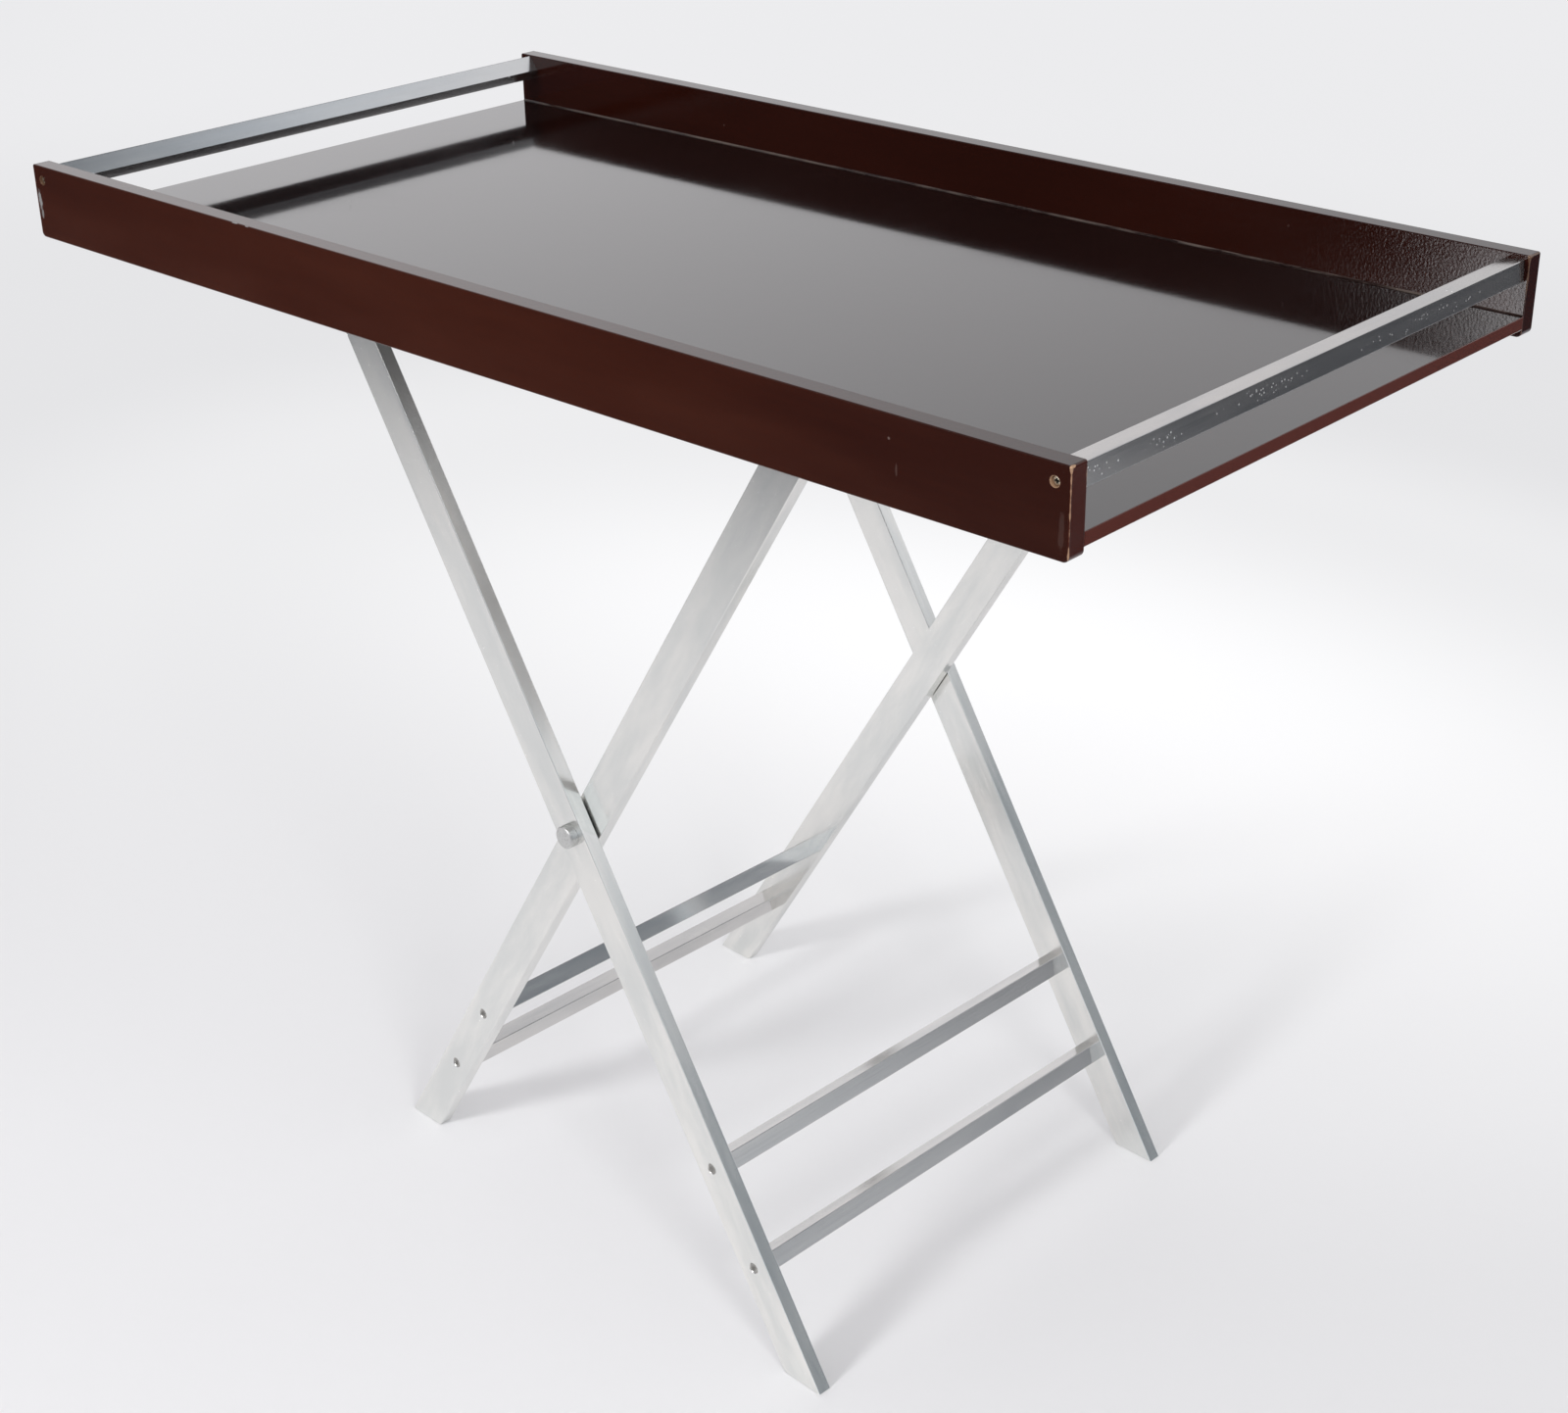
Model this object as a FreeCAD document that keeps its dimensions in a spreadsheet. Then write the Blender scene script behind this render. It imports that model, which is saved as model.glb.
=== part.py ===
import FreeCAD, Part
import math
import os
import Sketcher

# A butler's tray on a folding X stand. Millimetres, +Z up, origin on the floor under the tray's middle,
# +X along the tray, +Y to the back. Angles are in degrees.

Vector = FreeCAD.Vector
Rotation = FreeCAD.Rotation
Placement = FreeCAD.Placement

ORIGIN = Vector(0, 0, 0)
X_AXIS = Vector(1, 0, 0)
Y_AXIS = Vector(0, 1, 0)
Z_AXIS = Vector(0, 0, 1)
FRONT = -1
BACK = 1

DIMENSIONS = {
    # Tray: two side boards with the base between them, open at both ends
    "tray_length": 960,
    "tray_width": 504,
    "board_height": 55,
    "board_thickness": 14,
    "board_lower_corner_radius": 4,
    "board_upper_corner_radius": 1.6,
    "board_edge_radius": 0.8,
    "base_thickness": 9,
    "base_lip": 5.5,
    "base_edge_radius": 0.5,
    # Glued dowels between base and side boards
    "dowel_diameter": 5,
    "dowel_length": 24,
    "dowel_seat": 10,
    "dowel_end_room": 0.5,
    "dowel_end_margin": 80,
    # Square handle bars, each turning on one screw at either end
    "handle_side": 14.5,
    "handle_edge_radius": 0.6,
    "handle_inset": 10.5,
    "handle_drop": 11,
    "handle_end_play": 0.15,
    "left_handle_angle": 49,
    "right_handle_angle": -5,
    "handle_screw_diameter": 3.5,
    "handle_screw_head": 5.6,
    "handle_screw_head_height": 2.2,
    "handle_screw_length": 28,
    "counterbore_diameter": 6.6,
    "counterbore_depth": 4.2,
    # Stand: an outer and an inner frame of flat bar, crossed at half height
    "stand_height": 728,
    "lean": 32,
    "frame_inset": 55,
    "leg_width": 30,
    "leg_thickness": 11,
    "leg_edge_radius": 0.6,
    "leg_gap": 1.5,
    # How the loose tray lies on the stand
    "stand_shift": 24,
    "stand_angle": -2.7,
    # Square rails between the legs of a frame, each at its own turn on its screws
    "rail_side": 14,
    "rail_edge_radius": 0.6,
    "lower_rail_rise": 90.6,
    "rail_pitch": 78,
    "top_rail_drop": 17.5,
    "outer_upper_rail_angle": 11.3,
    "outer_lower_rail_angle": 9,
    "inner_upper_rail_angle": 18.9,
    "inner_lower_rail_angle": -24.9,
    "rail_screw_diameter": 4,
    "rail_screw_head": 7.6,
    "rail_screw_rim": 0.3,
    "rail_screw_sink": 0.2,
    "rail_screw_length": 28,
    "countersink_angle": 90,
    # Tapped holes run past the screw's end
    "tap_room": 2,
    # Pivot pins: screwed into the inner legs, turning in the outer legs
    "pivot_shank": 10,
    "pivot_head": 17,
    "pivot_head_height": 6.5,
    "pivot_head_chamfer": 0.6,
    "pivot_thread": 8,
    "pivot_thread_length": 8,
    "pivot_thread_room": 0.6,
    "washer_diameter": 16.5,
    # Opening stop: a pin in the outer leg that runs in an arc groove in the inner leg
    "stop_radius": 11.5,
    "stop_pin_diameter": 4,
    "stop_pin_seat": 8,
    "stop_groove_depth": 4,
    "stop_groove_room": 0.3,
    "stop_pin_end_room": 0.5,
    "fold_angle": 58,
    # Fits
    "running_fit": 0.05,
    "seat_fit": 0.05,
    "stop_play": 0.05,
    "seat_play": 0.1,
    "overrun": 5,
}
QUARTER_TURN = 90
HALF_TURN = 180
FULL_TURN = 360
PARALLEL_TOLERANCE = 1
DOWELS_PER_SIDE = 6
TIP_SHARE = 0.3
RECESS_LENGTH_SHARE = 0.62
RECESS_WIDTH_SHARE = 0.17
RECESS_DEPTH_SHARE = 0.22

doc = FreeCAD.newDocument("butlers_tray_table")
sheet = doc.addObject("Spreadsheet::Sheet", "dims")
for row, (alias, value) in enumerate(DIMENSIONS.items(), start=1):
    sheet.set(f"A{row}", alias)
    sheet.set(f"B{row}", str(value))
    sheet.setAlias(f"B{row}", alias)
doc.recompute()


def size(text):
    """Value of an expression in the sheet's names."""
    return float(sheet.evalExpression(text))


def new_body(label):
    """Empty body of one sub-part."""
    body = doc.addObject("PartDesign::Body", label)
    body.Label = label
    return body


def new_sketch(body, name, role="XY_Plane", rise=None):
    """Sketch on one of the body's own planes, raised along its normal where asked."""
    sketch = body.newObject("Sketcher::SketchObject", f"{body.Label}_{name}")
    plane = next(feature for feature in body.Origin.OriginFeatures if feature.Role == role)
    sketch.AttachmentSupport = [(plane, "")]
    sketch.MapMode = "FlatFace"
    if rise:
        sketch.setExpression("AttachmentOffset.Base.z", rise)
    return sketch


def pin_point(sketch, geometry, position, x, y):
    """Tie a point of a sketch to two expressions."""
    for kind, text in (("DistanceX", x), ("DistanceY", y)):
        index = sketch.addConstraint(Sketcher.Constraint(kind, -1, 1, geometry, position, size(text)))
        sketch.setExpression(f"Constraints[{index}]", text)


def draw_outline(sketch, corners):
    """Closed outline of straight lines through corners given as pairs of expressions."""
    points = [Vector(size(x), size(y), 0) for x, y in corners]
    count = len(points)
    lines = [sketch.addGeometry(Part.LineSegment(points[i], points[(i + 1) % count])) for i in range(count)]
    for i, line in enumerate(lines):
        sketch.addConstraint(Sketcher.Constraint("Coincident", line, 2, lines[(i + 1) % count], 1))
    for line, (x, y) in zip(lines, corners):
        pin_point(sketch, line, 1, x, y)


def draw_circle(sketch, diameter, x="0", y="0"):
    """Circle of a given diameter about a point given by two expressions."""
    across = size(diameter)
    circle = sketch.addGeometry(Part.Circle(Vector(size(x), size(y), 0), Z_AXIS, across / 2))
    index = sketch.addConstraint(Sketcher.Constraint("Diameter", circle, across))
    sketch.setExpression(f"Constraints[{index}]", diameter)
    pin_point(sketch, circle, 3, x, y)


def rectangle(width, height):
    """Corners of a rectangle about the origin."""
    return [(f"-({width}) / 2", f"-({height}) / 2"), (f"({width}) / 2", f"-({height}) / 2"),
            (f"({width}) / 2", f"({height}) / 2"), (f"-({width}) / 2", f"({height}) / 2")]


def pad(body, sketch, length):
    """Raise a sketch along its normal."""
    feature = body.newObject("PartDesign::Pad", f"{sketch.Name}_pad")
    feature.Profile = sketch
    feature.setExpression("Length", length)
    doc.recompute()
    return feature


def check_cut(body, before):
    """Stop where a cut took nothing away."""
    doc.recompute()
    if not body.Shape.Volume < before:
        raise RuntimeError(f"a cut in {body.Label} removes nothing")


def pocket(body, sketch, depth=None, upward=False):
    """Cut a sketch down through the body, or upward, to a depth or right through."""
    before = body.Shape.Volume
    feature = body.newObject("PartDesign::Pocket", f"{sketch.Name}_pocket")
    feature.Profile = sketch
    feature.Reversed = upward
    if depth:
        feature.setExpression("Length", depth)
    else:
        feature.Type = "ThroughAll"
    check_cut(body, before)


def revolve(body, sketch):
    """Turn a profile once round the sketch's upright axis."""
    feature = body.newObject("PartDesign::Revolution", f"{sketch.Name}_turned")
    feature.Profile = sketch
    feature.ReferenceAxis = (sketch, ["V_Axis"])
    feature.Angle = FULL_TURN
    doc.recompute()
    return feature


def ease_edges(body, radius, wanted):
    """Round the edges of the body's last feature whose ends pass a test on their direction."""
    base = body.Tip
    names = []
    for number, edge in enumerate(base.Shape.Edges, start=1):
        start, end = edge.Vertexes[0].Point, edge.Vertexes[-1].Point
        if edge.Curve.TypeId == "Part::GeomLine" and wanted(start, end):
            names.append(f"Edge{number}")
    feature = body.newObject("PartDesign::Fillet", f"{body.Label}_{radius}".replace(".", "_"))
    feature.Base = (base, names)
    feature.setExpression("Radius", radius)
    doc.recompute()


def along(axis):
    """Test for an edge that runs along an axis."""
    def wanted(start, end):
        run = end - start
        return abs(run.dot(axis)) > run.Length * math.cos(math.radians(PARALLEL_TOLERANCE))
    return wanted


def solids_at(label, master, placements):
    """One sub-part of several separate copies of a master solid."""
    group = doc.addObject("Part::Feature", label)
    group.Label = label
    copies = []
    for place in placements:
        copy = master.Shape.copy()
        copy.Placement = place
        copies.append(copy)
    group.Shape = Part.makeCompound(copies)
    return group


def upright(side):
    """Turn that stands a flat piece up with its outer face to the front or the back."""
    standing = Rotation(X_AXIS, QUARTER_TURN)
    return standing if side == FRONT else Rotation(Z_AXIS, HALF_TURN) * standing


def turned(angle):
    """Turn about the depth axis."""
    return Rotation(Y_AXIS, angle)


# Expressions that several pieces share
LEG_HALF = "(dims.stand_height / 2 / cos(dims.lean))"
LEG_SKEW = "(dims.leg_width / 2 * tan(dims.lean))"
LOWER_RAIL = f"(dims.lower_rail_rise - {LEG_HALF})"
UPPER_RAIL = f"({LOWER_RAIL} + dims.rail_pitch)"
TOP_RAIL = f"({LEG_HALF} - dims.top_rail_drop)"
OUTER_WIDTH = "(dims.tray_width - 2 * dims.frame_inset)"
INNER_WIDTH = f"({OUTER_WIDTH} - 2 * (dims.leg_thickness + dims.leg_gap))"
FRAME_WIDTHS = {"outer": OUTER_WIDTH, "inner": INNER_WIDTH}
BASE_WIDTH = "(dims.tray_width - 2 * dims.board_thickness)"
DOWEL_PITCH = f"((dims.tray_length - 2 * dims.dowel_end_margin) / {DOWELS_PER_SIDE - 1})"
DOWEL_HOLE = "(dims.dowel_diameter + 2 * dims.seat_fit)"
STOP_BEARING = "(2 * dims.lean - dims.fold_angle / 2)"

# Places worked out from the driving dimensions
handle_x = size("dims.tray_length / 2 - dims.handle_inset")
board_bottom = size("dims.stand_height - dims.base_lip")
handle_z = board_bottom + size("dims.board_height - dims.handle_drop")
stand_place = Placement(Vector(size("dims.stand_shift"), 0, 0), Rotation(Z_AXIS, size("dims.stand_angle")))
pivot_place = Placement(Vector(0, 0, size("dims.stand_height / 2")), Rotation())


def frame_place(frame):
    """Place of a frame: its legs' middle line, leaning about the pivot."""
    lean = size("dims.lean")
    return stand_place * pivot_place * Placement(ORIGIN, turned(-lean if frame == "outer" else lean))


def dowel_places(start, height):
    """Expressions for the dowel centres along a piece that starts at x = start."""
    first = f"{start} + dims.dowel_end_margin"
    return [(f"{first} + {number} * {DOWEL_PITCH}", height) for number in range(DOWELS_PER_SIDE)]


def make_side_board(label, side):
    """Side board: rounded lower corners, screw holes near its top corners, dowel holes on the inside."""
    body = new_body(label)
    outline = new_sketch(body, "outline")
    half = "dims.tray_length / 2"
    draw_outline(outline, [(f"-{half}", "0"), (half, "0"), (half, "dims.board_height"),
                           (f"-{half}", "dims.board_height")])
    pad(body, outline, "dims.board_thickness")
    middle = size("dims.board_height / 2")
    ease_edges(body, "dims.board_lower_corner_radius",
               lambda start, end: along(Z_AXIS)(start, end) and start.y < middle)
    ease_edges(body, "dims.board_upper_corner_radius",
               lambda start, end: along(Z_AXIS)(start, end) and start.y > middle)
    ease_edges(body, "dims.board_edge_radius",
               lambda start, end: along(X_AXIS)(start, end) or along(Y_AXIS)(start, end))
    drop = "dims.board_height - dims.handle_drop"
    ends = ("dims.handle_inset - dims.tray_length / 2", "dims.tray_length / 2 - dims.handle_inset")
    bores = new_sketch(body, "bores", rise="dims.board_thickness")
    counterbores = new_sketch(body, "counterbores", rise="dims.board_thickness")
    for end in ends:
        draw_circle(bores, "dims.handle_screw_diameter + 2 * dims.running_fit", end, drop)
        draw_circle(counterbores, "dims.counterbore_diameter", end, drop)
    pocket(body, bores)
    pocket(body, counterbores, "dims.counterbore_depth")
    dowel_holes = new_sketch(body, "dowel_holes")
    for x, y in dowel_places(f"-{half}", "dims.base_lip + dims.base_thickness / 2"):
        draw_circle(dowel_holes, DOWEL_HOLE, x, y)
    pocket(body, dowel_holes, "dims.dowel_seat + dims.dowel_end_room", upward=True)
    inside = side * size(f"{BASE_WIDTH} / 2")
    body.Placement = Placement(Vector(0, inside, board_bottom), upright(side))
    return body


def make_base():
    """Base board between the side boards, with dowel holes in its long edges."""
    body = new_body("tray_base")
    outline = new_sketch(body, "outline")
    draw_outline(outline, rectangle("dims.tray_length", BASE_WIDTH))
    pad(body, outline, "dims.base_thickness")
    ease_edges(body, "dims.base_edge_radius", along(Y_AXIS))
    depth = "dims.dowel_length - dims.dowel_seat + dims.dowel_end_room"
    edges = (("front_holes", f"{BASE_WIDTH} / 2", False), ("back_holes", f"-{BASE_WIDTH} / 2", True))
    for name, rise, upward in edges:
        holes = new_sketch(body, name, "XZ_Plane", rise)
        for x, y in dowel_places("-dims.tray_length / 2", "dims.base_thickness / 2"):
            draw_circle(holes, DOWEL_HOLE, x, y)
        pocket(body, holes, depth, upward)
    body.Placement = Placement(Vector(0, 0, size("dims.stand_height")), Rotation())
    return body


def make_dowels(label, side):
    """Row of dowels across the joint between the base and one side board."""
    master = doc.addObject("Part::Cylinder", f"{label}_master")
    master.setExpression("Radius", "dims.dowel_diameter / 2")
    master.setExpression("Height", "dims.dowel_length")
    doc.recompute()
    joint = size(f"{BASE_WIDTH} / 2")
    start = side * (joint + size("dims.dowel_seat"))
    middle = size("dims.stand_height + dims.base_thickness / 2")
    toward_base = Rotation(X_AXIS, QUARTER_TURN * side)
    places = [Placement(Vector(size(x), start, middle), toward_base)
              for x, _ in dowel_places("-dims.tray_length / 2", "0")]
    return solids_at(label, master, places)


def make_bar(label, side_length, edge_radius, length, tap, tap_depth):
    """Square bar along its own z, tapped in the middle of both ends."""
    body = new_body(label)
    section = new_sketch(body, "section")
    draw_outline(section, rectangle(side_length, side_length))
    pad(body, section, length)
    ease_edges(body, edge_radius, along(Z_AXIS))
    for name, rise, upward in (("near_tap", None, True), ("far_tap", length, False)):
        hole = new_sketch(body, name, rise=rise)
        draw_circle(hole, tap)
        pocket(body, hole, tap_depth, upward)
    return body


def make_handle_bar(label, x, turn):
    """Handle bar between the side boards, near their upper corners."""
    length = f"{BASE_WIDTH} - 2 * dims.handle_end_play"
    under_head = "(dims.board_thickness - dims.counterbore_depth + 2 * dims.handle_end_play)"
    grip = f"(dims.handle_screw_length - {under_head})"
    body = make_bar(label, "dims.handle_side", "dims.handle_edge_radius", length,
                    "dims.handle_screw_diameter + 2 * dims.seat_fit", f"{grip} + dims.tap_room")
    start = Vector(x, -size(length) / 2, handle_z)
    body.Placement = Placement(start, turned(turn) * Rotation(X_AXIS, -QUARTER_TURN))
    return body


def cut_cross(body, head, rise):
    """Cross recess in the top of a screw head."""
    arm = f"({head}) * {RECESS_LENGTH_SHARE} / 2"
    half = f"({head}) * {RECESS_WIDTH_SHARE} / 2"
    quarter = [(half, arm), (half, half), (arm, half)]
    corners = []
    for sign_x, sign_y, order in (("", "", 1), ("", "-", -1), ("-", "-", 1), ("-", "", -1)):
        corners += [(f"{sign_x}({x})", f"{sign_y}({y})") for x, y in quarter[::order]]
    recess = new_sketch(body, "recess", rise=rise)
    draw_outline(recess, corners)
    pocket(body, recess, f"({head}) * {RECESS_DEPTH_SHARE}")


def make_handle_screw():
    """Pan-head screw, with the underside of its head at the origin and its shank down along z."""
    body = new_body("handle_screw_master")
    profile = new_sketch(body, "profile", "XZ_Plane")
    shank = "dims.handle_screw_diameter / 2"
    head = "dims.handle_screw_head / 2"
    tip = f"{shank} * {TIP_SHARE}"
    top = "dims.handle_screw_head_height"
    end = "-dims.handle_screw_length"
    draw_outline(profile, [("0", top), (f"{head} - {tip}", top), (head, f"{top} - {tip}"), (head, "0"),
                           (shank, "0"), (shank, f"{end} + {tip}"), (f"{shank} - {tip}", end), ("0", end)])
    revolve(body, profile)
    cut_cross(body, "dims.handle_screw_head", top)
    return body


def make_rail_screw():
    """Countersunk screw, with the top of its head at the origin and its shank down along z."""
    body = new_body("rail_screw_master")
    profile = new_sketch(body, "profile", "XZ_Plane")
    shank = "dims.rail_screw_diameter / 2"
    head = "dims.rail_screw_head / 2"
    tip = f"{shank} * {TIP_SHARE}"
    neck = f"-dims.rail_screw_rim - ({head} - {shank}) / tan(dims.countersink_angle / 2)"
    end = "-dims.rail_screw_length"
    draw_outline(profile, [("0", "0"), (head, "0"), (head, "-dims.rail_screw_rim"), (shank, neck),
                           (shank, f"{end} + {tip}"), (f"{shank} - {tip}", end), ("0", end)])
    revolve(body, profile)
    cut_cross(body, "dims.rail_screw_head", None)
    return body


def handle_screw_places(x, turn):
    """Places of the two screws of a handle bar, turned with it."""
    seat = size("dims.tray_width / 2 - dims.counterbore_depth + dims.handle_end_play")
    return [Placement(Vector(x, side * seat, handle_z), turned(turn) * upright(side))
            for side in (FRONT, BACK)]


def make_leg(label, frame, side):
    """Leg of flat bar: ends cut level with floor and tray, countersunk for its rails."""
    body = new_body(label)
    cut_rises = (frame == "outer") == (side == BACK)
    left, right = ("-", "+") if cut_rises else ("+", "-")
    half_width = "dims.leg_width / 2"
    outline = new_sketch(body, "outline")
    draw_outline(outline, [(f"-{half_width}", f"-{LEG_HALF} {left} {LEG_SKEW}"),
                           (half_width, f"-{LEG_HALF} {right} {LEG_SKEW}"),
                           (half_width, f"{LEG_HALF} {right} {LEG_SKEW}"),
                           (f"-{half_width}", f"{LEG_HALF} {left} {LEG_SKEW}")])
    pad(body, outline, "dims.leg_thickness")
    ease_edges(body, "dims.leg_edge_radius", along(Y_AXIS))
    drill_rail_holes(body)
    if frame == "outer":
        drill_outer_pivot(body, side)
    else:
        drill_inner_pivot(body)
    inside = Vector(0, side * size(f"{FRAME_WIDTHS[frame]} / 2 - dims.leg_thickness"), 0)
    body.Placement = frame_place(frame) * Placement(inside, upright(side))
    return body


def drill_rail_holes(body):
    """Countersunk holes on the leg's middle line for the rails' screws."""
    centres = new_sketch(body, "rail_holes", rise="dims.leg_thickness")
    for height in (LOWER_RAIL, UPPER_RAIL, TOP_RAIL):
        draw_circle(centres, "dims.rail_screw_diameter", y=height)
    doc.recompute()
    before = body.Shape.Volume
    hole = body.newObject("PartDesign::Hole", f"{body.Label}_rail_screw_holes")
    hole.Profile = centres
    doc.recompute()
    hole.ThreadType = "None"
    hole.DepthType = "ThroughAll"
    hole.HoleCutType = "Countersink"
    hole.HoleCutCustomValues = True
    hole.setExpression("Diameter", "dims.rail_screw_diameter + 2 * dims.seat_fit")
    mouth = "2 * (dims.rail_screw_sink + dims.rail_screw_rim + dims.seat_fit)"
    hole.setExpression("HoleCutDiameter", f"dims.rail_screw_head + {mouth}")
    hole.setExpression("HoleCutCountersinkAngle", "dims.countersink_angle")
    check_cut(body, before)


def drill_outer_pivot(body, side):
    """Bore for the pivot pin, and on the inside the blind hole of the stop pin."""
    bore = new_sketch(body, "pivot_bore", rise="dims.leg_thickness")
    draw_circle(bore, "dims.pivot_shank + 2 * dims.running_fit")
    pocket(body, bore)
    seat = new_sketch(body, "stop_seat")
    across = "-" if side == BACK else ""
    draw_circle(seat, "dims.stop_pin_diameter + 2 * dims.seat_fit",
                f"{across}dims.stop_radius * sin{STOP_BEARING}", f"dims.stop_radius * cos{STOP_BEARING}")
    pocket(body, seat, "dims.stop_pin_seat", upward=True)


def drill_inner_pivot(body):
    """Blind tapped hole for the pivot pin, and round it the arc groove of the stop pin."""
    tap = new_sketch(body, "pivot_tap", rise="dims.leg_thickness")
    draw_circle(tap, "dims.pivot_thread + 2 * dims.seat_fit")
    pocket(body, tap, "dims.pivot_thread_length + dims.pivot_thread_room")
    section = new_sketch(body, "stop_groove", "YZ_Plane")
    half = "(dims.stop_pin_diameter / 2 + dims.stop_groove_room)"
    near, far = f"dims.stop_radius - {half}", f"dims.stop_radius + {half}"
    floor, mouth = "dims.leg_thickness - dims.stop_groove_depth", "dims.leg_thickness + dims.overrun"
    draw_outline(section, [(near, floor), (far, floor), (far, mouth), (near, mouth)])
    before = body.Shape.Volume
    groove = body.newObject("PartDesign::Groove", f"{body.Label}_stop_arc")
    groove.Profile = section
    groove.ReferenceAxis = (section, ["V_Axis"])
    groove.Midplane = True
    reach = "asin((dims.stop_pin_diameter / 2 + dims.stop_play) / dims.stop_radius)"
    groove.setExpression("Angle", f"dims.fold_angle * 1 deg + 2 * {reach}")
    check_cut(body, before)


def make_rail(label, frame, height, turn):
    """Square rail between the legs of a frame."""
    length = f"({FRAME_WIDTHS[frame]} - 2 * dims.leg_thickness)"
    grip = "(dims.rail_screw_length + dims.rail_screw_sink - dims.leg_thickness)"
    body = make_bar(label, "dims.rail_side", "dims.rail_edge_radius", length,
                    "dims.rail_screw_diameter + 2 * dims.seat_fit", f"{grip} + dims.tap_room")
    start = Vector(0, -size(length) / 2, size(height))
    body.Placement = frame_place(frame) * Placement(start, turned(turn) * Rotation(X_AXIS, -QUARTER_TURN))
    return body


def rail_screw_places(frame, turns):
    """Places of a frame's rail screws, two to a rail, their heads just under the legs' outer faces."""
    head_top = size(f"{FRAME_WIDTHS[frame]} / 2 - dims.rail_screw_sink")
    places = []
    for height, turn in turns.items():
        for side in (FRONT, BACK):
            seat = Placement(Vector(0, side * head_top, size(height)), turned(turn) * upright(side))
            places.append(frame_place(frame) * seat)
    return places


def make_pivot_pin(label, side):
    """Pivot pin: plain round head outside, shank through the outer leg, thread in the inner leg."""
    body = new_body(label)
    profile = new_sketch(body, "profile", "XZ_Plane")
    shoulder = "(dims.leg_thickness + dims.leg_gap + dims.seat_play)"
    end = f"({shoulder} + dims.pivot_thread_length)"
    head, shank, thread = "dims.pivot_head / 2", "dims.pivot_shank / 2", "dims.pivot_thread / 2"
    top, chamfer = "dims.pivot_head_height", "dims.pivot_head_chamfer"
    draw_outline(profile, [("0", top), (f"{head} - {chamfer}", top), (head, f"{top} - {chamfer}"),
                           (head, "0"), (shank, "0"), (shank, f"-{shoulder}"), (thread, f"-{shoulder}"),
                           (thread, f"-{end}"), ("0", f"-{end}")])
    revolve(body, profile)
    head_seat = side * size(f"{OUTER_WIDTH} / 2 + dims.seat_play")
    body.Placement = frame_place("inner") * Placement(Vector(0, head_seat, 0), upright(side))
    return body


def make_pivot_washer(label, side):
    """Spacer washer between an outer and an inner leg."""
    body = new_body(label)
    ring = new_sketch(body, "ring")
    draw_circle(ring, "dims.washer_diameter")
    draw_circle(ring, "dims.pivot_shank + 2 * dims.seat_play")
    pad(body, ring, "dims.leg_gap - dims.seat_play")
    seat = Vector(0, side * size(f"{INNER_WIDTH} / 2"), 0)
    body.Placement = frame_place("inner") * Placement(seat, upright(side))
    return body


def make_stop_pin(label, side):
    """Stop pin: seated in the outer leg, its end in the inner leg's groove."""
    body = new_body(label)
    section = new_sketch(body, "section")
    draw_circle(section, "dims.stop_pin_diameter")
    reach = "dims.leg_gap + dims.stop_groove_depth - dims.stop_pin_end_room"
    pad(body, section, f"dims.stop_pin_seat + {reach}")
    bearing = size(STOP_BEARING)
    inside = size(f"{OUTER_WIDTH} / 2 - dims.leg_thickness - ({reach})")
    centre = turned(bearing).multVec(Vector(0, side * inside, size("dims.stop_radius")))
    body.Placement = frame_place("outer") * Placement(centre, upright(side))
    return body


def build():
    """Every sub-part of the table."""
    left_turn, right_turn = size("dims.left_handle_angle"), size("dims.right_handle_angle")
    handle_screw = make_handle_screw()
    rail_screw = make_rail_screw()
    pieces = [
        make_side_board("front_side_board", FRONT),
        make_side_board("back_side_board", BACK),
        make_base(),
        make_dowels("front_base_dowels", FRONT),
        make_dowels("back_base_dowels", BACK),
        make_handle_bar("left_handle_bar", -handle_x, left_turn),
        make_handle_bar("right_handle_bar", handle_x, right_turn),
        solids_at("left_handle_screws", handle_screw, handle_screw_places(-handle_x, left_turn)),
        solids_at("right_handle_screws", handle_screw, handle_screw_places(handle_x, right_turn)),
    ]
    for frame in ("outer", "inner"):
        turns = {
            UPPER_RAIL: size(f"dims.{frame}_upper_rail_angle"),
            LOWER_RAIL: size(f"dims.{frame}_lower_rail_angle"),
            TOP_RAIL: 0,
        }
        for side_name, side in (("front", FRONT), ("back", BACK)):
            pieces.append(make_leg(f"{frame}_{side_name}_leg", frame, side))
        for rail_name, (height, turn) in zip(("upper", "lower", "top"), turns.items()):
            pieces.append(make_rail(f"{frame}_{rail_name}_rail", frame, height, turn))
        pieces.append(solids_at(f"{frame}_rail_screws", rail_screw, rail_screw_places(frame, turns)))
    for side_name, side in (("front", FRONT), ("back", BACK)):
        pieces.append(make_pivot_pin(f"{side_name}_pivot_pin", side))
        pieces.append(make_pivot_washer(f"{side_name}_pivot_washer", side))
        pieces.append(make_stop_pin(f"{side_name}_stop_pin", side))
    return pieces


pieces = build()
doc.recompute()
for item in doc.Objects:
    if "Invalid" in item.State or "Error" in item.State:
        raise RuntimeError(f"{item.Label} failed to build: {item.State}")
os.makedirs("parts", exist_ok=True)
for piece in pieces:
    if piece.Shape.isNull() or not piece.Shape.isValid():
        raise RuntimeError(f"{piece.Label} has no valid shape")
for piece in pieces:
    piece.Shape.exportStep(f"parts/{piece.Label}.step")
    print(f"{piece.Label}: {len(piece.Shape.Solids)} solids, {piece.Shape.Volume:.0f} mm3")
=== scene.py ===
"""Butler's tray on a folding stand: finishes, small fittings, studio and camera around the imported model.

Lengths are metres in the part's frame: +X along the tray, +Y from the front board to the back board, +Z up.
"""
import logging
import math
from abc import ABC, abstractmethod
from dataclasses import dataclass
from enum import Enum
from functools import partial, reduce
from typing import Iterable, Optional, Union

import bmesh
import bpy
from mathutils import Euler, Matrix, Vector

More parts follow.
